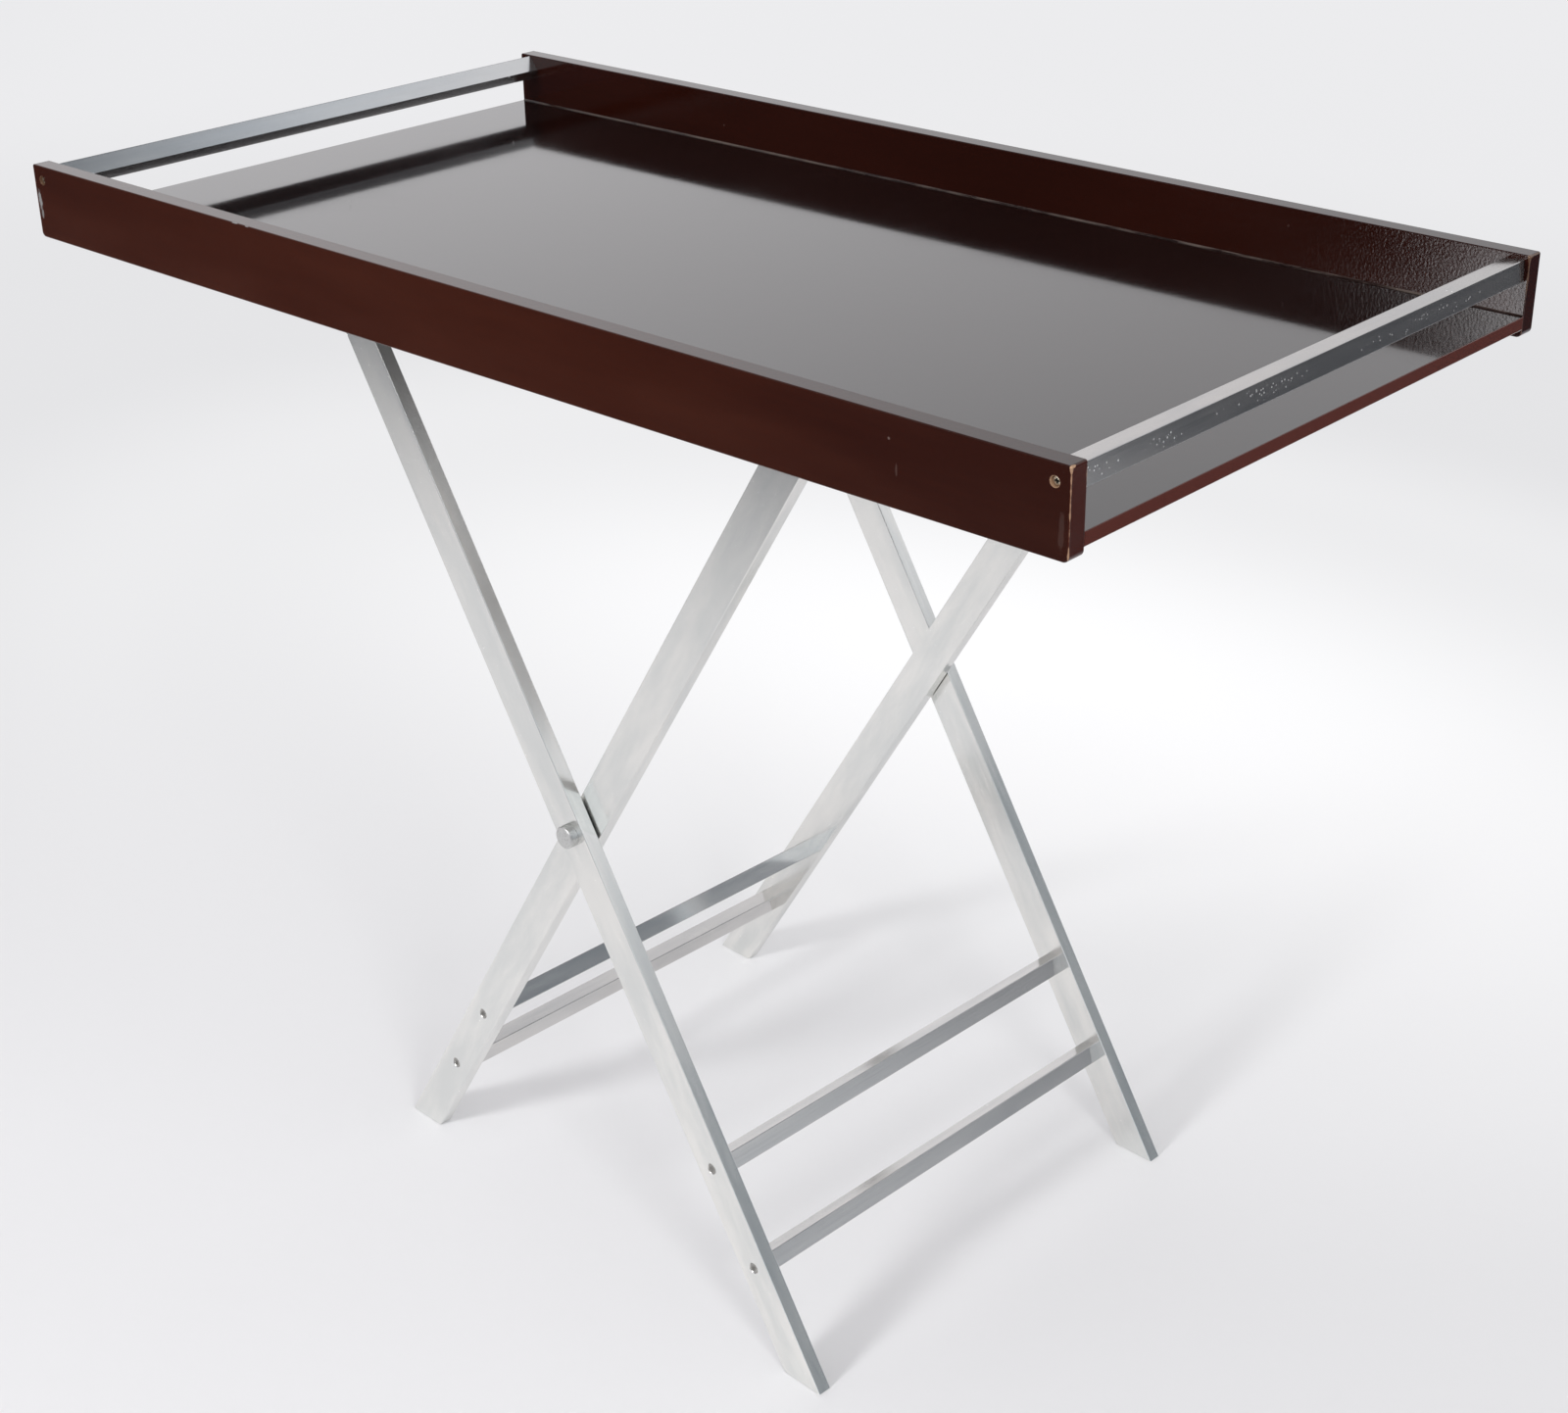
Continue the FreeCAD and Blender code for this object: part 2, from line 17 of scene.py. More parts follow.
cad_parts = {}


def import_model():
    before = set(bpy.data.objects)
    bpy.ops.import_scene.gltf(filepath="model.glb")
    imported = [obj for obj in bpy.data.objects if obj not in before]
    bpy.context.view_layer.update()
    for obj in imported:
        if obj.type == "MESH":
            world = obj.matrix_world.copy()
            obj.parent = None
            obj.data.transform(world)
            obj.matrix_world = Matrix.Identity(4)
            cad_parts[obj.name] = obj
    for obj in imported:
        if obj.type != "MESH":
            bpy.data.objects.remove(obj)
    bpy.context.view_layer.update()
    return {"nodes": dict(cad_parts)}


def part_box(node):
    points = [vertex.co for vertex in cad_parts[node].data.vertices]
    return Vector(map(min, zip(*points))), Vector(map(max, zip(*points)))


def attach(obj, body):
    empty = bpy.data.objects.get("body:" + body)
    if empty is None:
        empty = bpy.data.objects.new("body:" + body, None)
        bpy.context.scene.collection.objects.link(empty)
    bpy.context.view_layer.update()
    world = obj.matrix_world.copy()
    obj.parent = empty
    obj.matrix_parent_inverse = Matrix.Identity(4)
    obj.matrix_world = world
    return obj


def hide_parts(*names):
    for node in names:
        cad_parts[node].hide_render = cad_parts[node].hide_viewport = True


Pair = tuple[float, float]
Triple = tuple[float, float, float]
# Start and end of a smooth step, followed by its results there if they aren't 0 and 1.
Ramp = tuple[float, ...]
Socket = bpy.types.NodeSocket
Node = bpy.types.Node
Shape = bmesh.types.BMesh
Feed = Union[Socket, float, Triple]
Nodes = dict[str, bpy.types.Object]

ALONG_X: Triple = (1.0, 0.0, 0.0)
ALONG_Y: Triple = (0.0, 1.0, 0.0)
BLACK: Triple = (0.0, 0.0, 0.0)
HANDLE_X = 0.4695
HANDLE_Z = 0.7665
RAIL_LEVELS = ("upper", "lower", "top")

log = logging.getLogger("tray_table")


class Side(Enum):
    """An end of the tray, with its sign along X."""

    LEFT = -1
    RIGHT = 1


class Face(Enum):
    """The front or the back of the table, with its sign along Y."""

    FRONT = -1
    BACK = 1


class Frame(Enum):
    """One of the two crossed frames of the stand, with the way its top leans along X."""

    OUTER = -1
    INNER = 1


class Head(Enum):
    """A screw head's profile: its flat top's share of the radius, then each round's radius and drop."""

    PAN = (0.70, ((0.88, 0.10), (0.97, 0.18), (1.0, 0.22), (1.0, 0.50)))
    COUNTERSUNK = (0.97, ((1.0, 0.03), (1.0, 0.12)))


class Graph:
    """Node tree of a finish, with short calls for the nodes that the finishes share."""

    choice_blur = 0.02
    dot_core = 0.5

    def __init__(self, tree: bpy.types.NodeTree) -> None:
        """Start from an empty tree."""
        self.tree = tree
        self.tree.nodes.clear()

    def node(self, kind: str, **settings: object) -> Node:
        """Add a node.

        Args:
            kind: Blender's name of the node type.
            **settings: properties of the node to set.

        Returns:
            The new node.
        """
        made = self.tree.nodes.new(kind)
        for name, value in settings.items():
            setattr(made, name, value)
        return made

    def feed(self, socket: Socket, value: Feed) -> None:
        """Link a socket to another one, or set it to a plain value.

        Args:
            socket: input socket.
            value: output socket, number or triple.
        """
        if isinstance(value, Socket):
            self.tree.links.new(value, socket)
        elif socket.type == "RGBA":
            socket.default_value = (*value, 1.0)
        else:
            socket.default_value = value

    def fill(self, node: Node, values: dict[str, Feed]) -> None:
        """Feed several inputs of a node.

        Args:
            node: node to feed.
            values: what each input gets, by the input's name.
        """
        for name, value in values.items():
            self.feed(node.inputs[name], value)

    def place(self) -> Socket:
        """Point of the surface in the piece's own coordinates."""
        return self.node("ShaderNodeTexCoord").outputs["Object"]

    def math(self, operation: str, first: Feed, second: Feed = 0.0) -> Socket:
        """Work out one number from two.

        Args:
            operation: Blender's name of the operation.
            first: first number.
            second: second number.

        Returns:
            The result's socket.
        """
        made = self.node("ShaderNodeMath", operation=operation)
        self.feed(made.inputs[0], first)
        self.feed(made.inputs[1], second)
        return made.outputs[0]

    def total(self, *values: Feed) -> Feed:
        """Sum of several numbers."""
        return reduce(partial(self.math, "ADD"), values)

    def times(self, *values: Feed) -> Feed:
        """Product of several numbers."""
        return reduce(partial(self.math, "MULTIPLY"), values)

    def either(self, *values: Feed) -> Feed:
        """Largest of several numbers."""
        return reduce(partial(self.math, "MAXIMUM"), values)

    def least(self, *values: Feed) -> Feed:
        """Smallest of several numbers."""
        return reduce(partial(self.math, "MINIMUM"), values)

    def less(self, first: Feed, second: Feed) -> Socket:
        """First number less the second."""
        return self.math("SUBTRACT", first, second)

    def vector(self, operation: str, first: Feed, second: Feed = (0.0, 0.0, 0.0),
               scale: Feed = 1.0) -> Socket:
        """Work out a vector, or a number for the operations that give one.

        Args:
            operation: Blender's name of the operation.
            first: first vector.
            second: second vector.
            scale: factor of the SCALE operation.

        Returns:
            The result's socket.
        """
        made = self.node("ShaderNodeVectorMath", operation=operation)
        self.feed(made.inputs[0], first)
        if operation == "SCALE":
            self.feed(made.inputs["Scale"], scale)
        elif operation != "LENGTH":
            self.feed(made.inputs[1], second)
        return made.outputs["Value" if operation in ("LENGTH", "DOT_PRODUCT") else "Vector"]

    def distance(self, first: Feed, second: Feed) -> Socket:
        """Distance between two points."""
        return self.vector("LENGTH", self.vector("SUBTRACT", first, second))

    def parts(self, vector: Feed) -> tuple[Socket, ...]:
        """X, Y and Z of a vector."""
        made = self.node("ShaderNodeSeparateXYZ")
        self.feed(made.inputs[0], vector)
        return tuple(made.outputs)

    def remap(self, value: Feed, start: float, end: float, low: float = 0.0, high: float = 1.0) -> Socket:
        """Smooth step between two levels.

        Args:
            value: number to map.
            start: value that gives low.
            end: value that gives high.
            low: result at start.
            high: result at end.

        Returns:
            The result's socket.
        """
        made = self.node("ShaderNodeMapRange", interpolation_type="SMOOTHSTEP")
        for socket, number in zip(made.inputs, (value, start, end, low, high)):
            self.feed(socket, number)
        return made.outputs[0]

    def noise(self, vector: Feed, scale: float, detail: float = 3.0, roughness: float = 0.5) -> Socket:
        """Soft noise about one half.

        Args:
            vector: where the noise is read.
            scale: waves per metre.
            detail: octaves.
            roughness: share of each finer octave.

        Returns:
            The noise's socket.
        """
        made = self.node("ShaderNodeTexNoise")
        self.fill(made, {"Vector": vector, "Scale": scale, "Detail": detail, "Roughness": roughness})
        return made.outputs[0]

    def streaks(self, vector: Feed, along: Triple, waves: Pair, detail: float,
                roughness: float = 0.5) -> Socket:
        """Noise drawn out along one direction.

        Args:
            vector: point of the surface.
            along: unit vector of the drawn-out direction.
            waves: waves per metre across that direction and along it.
            detail: octaves.
            roughness: share of each finer octave.

        Returns:
            The noise's socket.
        """
        fine, coarse = waves
        run = self.vector("DOT_PRODUCT", vector, along)
        pulled = self.vector("SCALE", along, scale=self.times(run, coarse - fine))
        drawn = self.vector("ADD", self.vector("SCALE", vector, scale=fine), pulled)
        return self.noise(drawn, 1.0, detail, roughness)

    def dots(self, vector: Feed, scale: float, size: float, share: float) -> Socket:
        """Mask of small scattered dots.

        Args:
            vector: where the pattern is read.
            scale: cells per metre.
            size: radius of a dot as a share of its cell.
            share: share of the cells that hold a dot.

        Returns:
            The mask's socket.
        """
        made = self.node("ShaderNodeTexVoronoi")
        self.fill(made, {"Vector": vector, "Scale": scale})
        chance = self.parts(made.outputs["Color"])[0]
        chosen = self.remap(chance, 1.0 - share - self.choice_blur, 1.0 - share)
        return self.times(self.remap(made.outputs["Distance"], size, size * self.dot_core), chosen)

    def mix(self, factor: Feed, first: Feed, second: Feed) -> Socket:
        """Colour between two colours.

        Args:
            factor: 0 for the first colour, 1 for the second.
            first: first colour.
            second: second colour.

        Returns:
            The colour's socket.
        """
        made = self.node("ShaderNodeMix", data_type="RGBA")
        colours = [socket for socket in made.inputs if socket.type == "RGBA"]
        self.feed(made.inputs[0], factor)
        self.feed(colours[0], first)
        self.feed(colours[1], second)
        return next(socket for socket in made.outputs if socket.type == "RGBA")

    def bump(self, height: Feed, depth: float, under: Optional[Feed] = None) -> Socket:
        """Surface normal of a relief.

        Args:
            height: relief from 0 to 1.
            depth: metres from the relief's lowest to its highest level.
            under: normal of another relief below this one.

        Returns:
            The normal's socket.
        """
        made = self.node("ShaderNodeBump")
        self.fill(made, {"Strength": 1.0, "Distance": depth, "Height": height})
        if under is not None:
            self.feed(made.inputs["Normal"], under)
        return made.outputs["Normal"]


class Finish(ABC):
    """A surface finish that becomes a material."""

    name: str

    @abstractmethod
    def paint(self, graph: Graph, shader: Node) -> None:
        """Add the finish's own nodes.

        Args:
            graph: node tree of the material.
            shader: its Principled shader.
        """

    def material(self) -> bpy.types.Material:
        """Make the material.

        Returns:
            A new material painted with this finish.
        """
        made = bpy.data.materials.new(self.name)
        made.use_nodes = True
        graph = Graph(made.node_tree)
        shader = graph.node("ShaderNodeBsdfPrincipled")
        output = graph.node("ShaderNodeOutputMaterial")
        graph.feed(output.inputs["Surface"], shader.outputs["BSDF"])
        self.paint(graph, shader)
        return made


@dataclass(frozen=True)
class Scuff:
    """A scraped or hazy patch: its middle, its half sizes, and how strongly it shows."""

    middle: Triple
    reach: Triple
    strength: float = 1.0
    raggedness: float = 1.6
    outline: Ramp = (1.0, 0.55)

    def mask(self, graph: Graph, place: Feed, ragged: Feed) -> Socket:
        """Mask of the patch.

        Args:
            graph: node tree of the material.
            place: point of the surface.
            ragged: noise that breaks up the patch's outline.

        Returns:
            The mask's socket.
        """
        away = graph.vector("DIVIDE", graph.vector("SUBTRACT", place, self.middle), self.reach)
        uneven = graph.times(ragged, self.raggedness)
        edge = graph.total(graph.vector("LENGTH", away), uneven, -self.raggedness / 2)
        return graph.remap(edge, *self.outline, 0.0, self.strength)


@dataclass(frozen=True)
class BoardLacquer(Finish):
    """Dark red-brown lacquer of a side board, rubbed through to the wood along its edges, with painted shade
    that can darken it towards its right end.
    """

    name: str
    low: Triple
    high: Triple
    chips: tuple[Scuff, ...] = ()
    hazes: tuple[Scuff, ...] = ()
    warm: Triple = (0.039, 0.0076, 0.0024)
    deep: Triple = (0.019, 0.0034, 0.0013)
    end_grain: Triple = (0.036, 0.0050, 0.0018)
    bare_wood: Triple = (0.50, 0.31, 0.19)
    dark_wood: Triple = (0.275, 0.1705, 0.1045)
    haze_tone: Triple = (0.11, 0.075, 0.065)
    chip_tone: Triple = (0.27, 0.28, 0.28)
    right_end_painted_shade: float = 0.0
    wear: float = 1.0
    roughness: float = 0.14
    coat: float = 0.16
    peel_scale: float = 560.0
    peel_depth: float = 0.00004
    lost_depth: float = 0.00012
    unevenness: float = 0.0030
    cloud_waves: Pair = (22.0, 5.0)
    grain_waves: Pair = (420.0, 14.0)
    specks: Triple = (34.0, 0.022, 0.05)
    painted_shade_ramp: Ramp = (0.10, 0.46)
    gloss_ramp: Ramp = (0.35, 0.7)
    end_ramp: Ramp = (0.0012, 0.0004)
    broad_rub: Ramp = (0.09, 0.004, 0.0, 0.0009)
    tip_rub: Ramp = (0.007, 0.002, 0.0, 0.0020)
    foot_rub: Ramp = (0.020, 0.003, 0.0, 0.0010)
    corner_wear: Ramp = (0.00135, 0.0010, 0.0, 0.6)
    upper_wear: Ramp = (0.0014, 0.0010, 0.0, 0.5)
    lower_wear: Ramp = (0.00155, 0.0012, 0.0, 0.7)
    tip_wear: Ramp = (0.00140, 0.0010)
    rim_ramp: Ramp = (0.0035, 0.0034)
    rim_wear: Ramp = (-0.1, 0.1, 0.3, 0.9)

    def rubbed(self, graph: Graph, place: Feed, ends: Feed, ragged: Feed) -> Socket:
        """Mask of where the lacquer is rubbed through to the wood.

        Args:
            graph: node tree of the material.
            place: point of the surface.
            ends: distance from the nearer end.
            ragged: noise that makes the wear uneven.

        Returns:
            The mask's socket.
        """
        x, y, z = graph.parts(place)
        faces = graph.least(graph.less(y, self.low[1]), graph.less(self.high[1], y))
        top = graph.less(self.high[2], z)
        bottom = graph.less(z, self.low[2])
        from_corner = graph.distance(place, (self.high[0], self.low[1], self.high[2]))
        from_foot = graph.distance(place, (self.high[0], self.low[1], self.low[2]))
        rub = graph.either(graph.remap(from_corner, *self.broad_rub), graph.remap(from_corner, *self.tip_rub),
                           graph.remap(from_foot, *self.foot_rub))
        uneven = graph.times(ragged, self.unevenness)
        corner = graph.less(graph.total(graph.either(ends, faces), uneven), rub)
        upper = graph.total(graph.either(top, faces), uneven)
        lower = graph.total(graph.either(bottom, faces), uneven)
        tip = graph.less(graph.total(graph.either(ends, top), uneven), rub)
        worn = graph.either(graph.remap(corner, *self.corner_wear), graph.remap(upper, *self.upper_wear),
                            graph.remap(lower, *self.lower_wear), graph.remap(tip, *self.tip_wear))
        aside = graph.less(graph.math("ABSOLUTE", x), HANDLE_X)
        height = graph.less(z, HANDLE_Z)
        away = graph.math("SQRT", graph.total(graph.times(aside, aside), graph.times(height, height)))
        rim = graph.remap(away, *self.rim_ramp)
        return graph.either(graph.times(worn, self.wear), graph.times(rim, graph.remap(x, *self.rim_wear)))

    def paint(self, graph: Graph, shader: Node) -> None:
        """Add the lacquer's nodes."""
        place = graph.place()
        x, _, _ = graph.parts(place)
        cloud = graph.streaks(place, ALONG_X, self.cloud_waves, 3.0)
        grain = graph.streaks(place, ALONG_X, self.grain_waves, 2.0)
        ragged = graph.noise(place, 95.0, 4.0, 0.6)
        ends = graph.least(graph.less(x, self.low[0]), graph.less(self.high[0], x))
        worn = self.rubbed(graph, place, ends, ragged)
        chipped = graph.either(0.0, *(chip.mask(graph, place, ragged) for chip in self.chips))
        hazy = graph.either(0.0, *(haze.mask(graph, place, ragged) for haze in self.hazes),
                            graph.dots(place, *self.specks))
        # Tone: random cloud and grain, less the painted shade that darkens the board towards its right end.
        tone = graph.total(graph.times(cloud, 1.25), graph.times(grain, 0.35), -0.3,
                           graph.remap(x, *self.painted_shade_ramp, 0.0, -self.right_end_painted_shade))
        wood = graph.mix(graph.noise(place, 260.0), self.bare_wood, self.dark_wood)
        colour = graph.mix(tone, self.deep, self.warm)
        colour = graph.mix(graph.remap(ends, *self.end_ramp), colour, self.end_grain)
        colour = graph.mix(hazy, colour, self.haze_tone)
        colour = graph.mix(worn, colour, wood)
        colour = graph.mix(chipped, colour, self.chip_tone)
        gloss = graph.remap(cloud, *self.gloss_ramp, self.roughness, self.roughness + 0.05)
        dull = graph.total(gloss, graph.times(worn, 0.35), graph.times(hazy, 0.25))
        peel = graph.bump(graph.noise(place, self.peel_scale, 2.0), self.peel_depth)
        kept = graph.less(1.0, graph.either(worn, chipped))
        graph.fill(shader, {"Base Color": colour, "Roughness": dull, "IOR": 1.5, "Specular IOR Level": 0.3,
                            "Coat Weight": self.coat, "Coat Roughness": 0.08,
                            "Normal": graph.bump(kept, self.lost_depth, peel)})


@dataclass(frozen=True)
class BaseLacquer(Finish):
    """Almost black high-gloss lacquer of the tray's base, with faint grain, hairlines and dust haze, and a
    pale underside with painted shade that darkens it from the middle towards the left.
    """

    name: str
    half_length: float
    bottom: float
    dark: Triple = (0.0058, 0.0026, 0.0026)
    brown: Triple = (0.0105, 0.0042, 0.0037)
    edge: Triple = (0.075, 0.019, 0.013)
    underside: Triple = (0.60, 0.59, 0.58)
    shadow: Triple = (0.022, 0.020, 0.019)
    dust: Triple = (0.085, 0.082, 0.082)
    skin_ramp: Ramp = (0.0006, 0.0003)
    grain_waves: Pair = (260.0, 9.0)
    hair_waves: Pair = (150.0, 2.5)
    hair_degrees: Triple = (14.0, 61.0, -38.0)
    hair_ramp: Ramp = (0.006, 0.001)
    hair_patches: Ramp = (0.50, 0.68)
    dust_ramp: Ramp = (0.55, 0.9, 0.0, 0.14)
    specks: Triple = (60.0, 0.03, 0.06)
    edge_ramp: Ramp = (0.0007, 0.0002)
    shadow_ramp: Ramp = (-0.12, 0.09)
    under_grain: Ramp = (0.2, 0.8, 1.0, 0.7)
    gloss_ramp: Ramp = (0.3, 0.75, 0.065, 0.10)
    coat: float = 0.35
    relief_depth: float = 0.000016

    def paint(self, graph: Graph, shader: Node) -> None:
        """Add the lacquer's nodes."""
        place = graph.place()
        x, _, z = graph.parts(place)
        end = graph.less(self.half_length, graph.math("ABSOLUTE", x))
        below = graph.remap(graph.less(z, self.bottom), *self.skin_ramp)
        cloud = graph.noise(place, 7.0, 4.0, 0.6)
        grain = graph.streaks(place, ALONG_X, self.grain_waves, 3.0)
        dust = graph.remap(graph.noise(place, 55.0, 5.0, 0.7), *self.dust_ramp)
        hairs = graph.either(*(self.hairline(graph, place, turn) for turn in self.hair_degrees))
        hairs = graph.times(hairs, graph.remap(cloud, *self.hair_patches))
        dirt = graph.either(dust, graph.times(hairs, 0.12), graph.dots(place, *self.specks))
        colour = graph.mix(graph.total(cloud, graph.times(grain, 0.3), -0.15), self.dark, self.brown)
        colour = graph.mix(dirt, colour, self.dust)
        colour = graph.mix(graph.remap(end, *self.edge_ramp), colour, self.edge)
        # Underside: pale, with painted shade (the shadow colour) darkening it from the middle towards the
        # left.
        pale = graph.mix(graph.remap(x, *self.shadow_ramp), self.shadow, self.underside)
        colour = graph.mix(graph.times(below, graph.remap(grain, *self.under_grain)), colour, pale)
        rough = graph.total(graph.times(below, 0.4), graph.remap(cloud, *self.gloss_ramp),
                            graph.times(hairs, 0.08), graph.times(dust, 0.12))
        relief = graph.total(graph.times(grain, 0.10), graph.noise(place, 120.0, 2.0))
        graph.fill(shader, {"Base Color": colour, "Roughness": rough, "IOR": 1.55, "Coat Weight": self.coat,
                            "Coat Roughness": 0.055, "Normal": graph.bump(relief, self.relief_depth)})

    def hairline(self, graph: Graph, place: Feed, turn: float) -> Socket:
        """Mask of fine scratches in one direction.

        Args:
            graph: node tree of the material.
            place: point of the surface.
            turn: direction in degrees from the tray's length.

        Returns:
            The mask's socket.
        """
        run = (math.cos(math.radians(turn)), math.sin(math.radians(turn)), 0.0)
        line = graph.streaks(place, run, self.hair_waves, 1.0)
        return graph.remap(graph.math("ABSOLUTE", graph.less(line, 0.5)), *self.hair_ramp)


@dataclass(frozen=True)
class DrawnAluminium(Finish):
    """Drawn bar: fine lines along it, cloudy oxide and small pale dents."""

    name: str
    along: Triple
    bright: Triple
    dull: Triple
    roughness: float
    metallic: float
    cloud_scale: float
    dent_share: float
    marks: tuple[Scuff, ...] = ()
    scuffed: Triple = (0.86, 0.86, 0.86)
    line_waves: Pair = (500.0, 4.0)
    line_depth: float = 0.000006
    cloud_drawing: float = 0.2
    cloud_ramp: Ramp = (0.32, 0.68)
    dent_scale: float = 85.0
    dent_size: float = 0.09
    dent_depth: float = 0.00006
    scrape_dots: Triple = (430.0, 0.34, 0.36)

    def paint(self, graph: Graph, shader: Node) -> None:
        """Add the metal's nodes."""
        place = graph.place()
        lines = graph.streaks(place, self.along, self.line_waves, 2.0)
        cloud_waves = (self.cloud_scale, self.cloud_scale * self.cloud_drawing)
        cloud = graph.streaks(place, self.along, cloud_waves, 5.0, 0.62)
        fleck = graph.noise(place, 240.0, 3.0, 0.6)
        dents = graph.dots(place, self.dent_scale, self.dent_size, self.dent_share)
        if self.marks:
            scraped = graph.either(*(mark.mask(graph, place, fleck) for mark in self.marks))
            dents = graph.either(dents, graph.times(scraped, graph.dots(place, *self.scrape_dots)))
        tone = graph.total(graph.remap(cloud, *self.cloud_ramp), graph.times(lines, 0.35),
                           graph.times(fleck, 0.25), -0.3)
        colour = graph.mix(dents, graph.mix(tone, self.dull, self.bright), self.scuffed)
        rough = graph.total(graph.times(lines, 0.10), graph.times(cloud, 0.10), graph.times(dents, 0.2),
                            self.roughness - 0.10)
        relief = graph.bump(lines, self.line_depth)
        graph.fill(shader, {"Base Color": colour, "Roughness": rough,
                            "Metallic": graph.less(self.metallic, graph.times(dents, 0.5)),
                            "Normal": graph.bump(dents, self.dent_depth, relief)})


@dataclass(frozen=True)
class TurnedMetal(Finish):
    """Turned or pressed fastener metal, dulled and stained, with tool marks round its axis."""

    name: str
    bright: Triple
    stain: Triple
    roughness: float
    metallic: float = 0.9
    mark_waves: Pair = (240.0, 2600.0)
    mark_depth: float = 0.00002
    stain_ramp: Ramp = (0.46, 0.72)

    def paint(self, graph: Graph, shader: Node) -> None:
        """Add the metal's nodes."""
        place = graph.place()
        stained = graph.remap(graph.noise(place, 620.0, 4.0, 0.65), *self.stain_ramp)
        marks = graph.streaks(place, ALONG_Y, self.mark_waves, 2.0)
        rough = graph.total(graph.times(marks, 0.12), graph.times(stained, 0.15), self.roughness)
        graph.fill(shader, {"Base Color": graph.mix(stained, self.bright, self.stain), "Roughness": rough,
                            "Metallic": self.metallic, "Normal": graph.bump(marks, self.mark_depth)})


@dataclass(frozen=True)
class PlainWood(Finish):
    """Bare beech of the dowels."""

    name: str
    along: Triple
    pale: Triple = (0.56, 0.38, 0.22)
    grain_tone: Triple = (0.40, 0.24, 0.13)
    grain_waves: Pair = (900.0, 40.0)
    grain_depth: float = 0.00008
    tone_ramp: Ramp = (0.35, 0.7)
    rough_ramp: Ramp = (0.3, 0.7, 0.6, 0.75)

    def paint(self, graph: Graph, shader: Node) -> None:
        """Add the wood's nodes."""
        grain = graph.streaks(graph.place(), self.along, self.grain_waves, detail=4.0, roughness=0.6)
        colour = graph.mix(graph.remap(grain, *self.tone_ramp), self.pale, self.grain_tone)
        graph.fill(shader, {"Base Color": colour, "Roughness": graph.remap(grain, *self.rough_ramp),
                            "Normal": graph.bump(grain, self.grain_depth)})


@dataclass(frozen=True)
class WasherNylon(Finish):
    """Dark nylon of the pivot washers, rubbed shiny by the turning legs."""

    name: str
    dark: Triple = (0.022, 0.022, 0.024)
    rubbed: Triple = (0.050, 0.050, 0.053)
    roughness: float = 0.55
    shine: float = 0.2
    rub_scale: float = 300.0
    rub_ramp: Ramp = (0.4, 0.7)
    skin_scale: float = 1500.0
    skin_depth: float = 0.00003

    def paint(self, graph: Graph, shader: Node) -> None:
        """Add the nylon's nodes."""
        place = graph.place()
        rub = graph.remap(graph.noise(place, self.rub_scale), *self.rub_ramp)
        skin = graph.noise(place, self.skin_scale, detail=2.0)
        graph.fill(shader, {"Base Color": graph.mix(rub, self.dark, self.rubbed),
                            "Roughness": graph.less(self.roughness, graph.times(rub, self.shine)),
                            "Normal": graph.bump(skin, self.skin_depth)})


@dataclass(frozen=True)
class JointLine(Finish):
    """Glue and lacquer in the corner between base and side board: dark, with pale dust along it."""

    name: str
    dark: Triple = (0.012, 0.005, 0.004)
    pale: Triple = (0.075, 0.055, 0.045)
    dust_waves: Pair = (300.0, 26.0)
    dust_ramp: Ramp = (0.40, 0.62)
    rough_ramp: Ramp = (0.0, 1.0, 0.25, 0.6)
    ridge_depth: float = 0.0001

    def paint(self, graph: Graph, shader: Node) -> None:
        """Add the joint's nodes."""
        run = graph.streaks(graph.place(), ALONG_X, self.dust_waves, detail=4.0, roughness=0.6)
        dusty = graph.remap(run, *self.dust_ramp)
        graph.fill(shader, {"Base Color": graph.mix(dusty, self.dark, self.pale),
                            "Roughness": graph.remap(dusty, *self.rough_ramp),
                            "Normal": graph.bump(run, self.ridge_depth)})


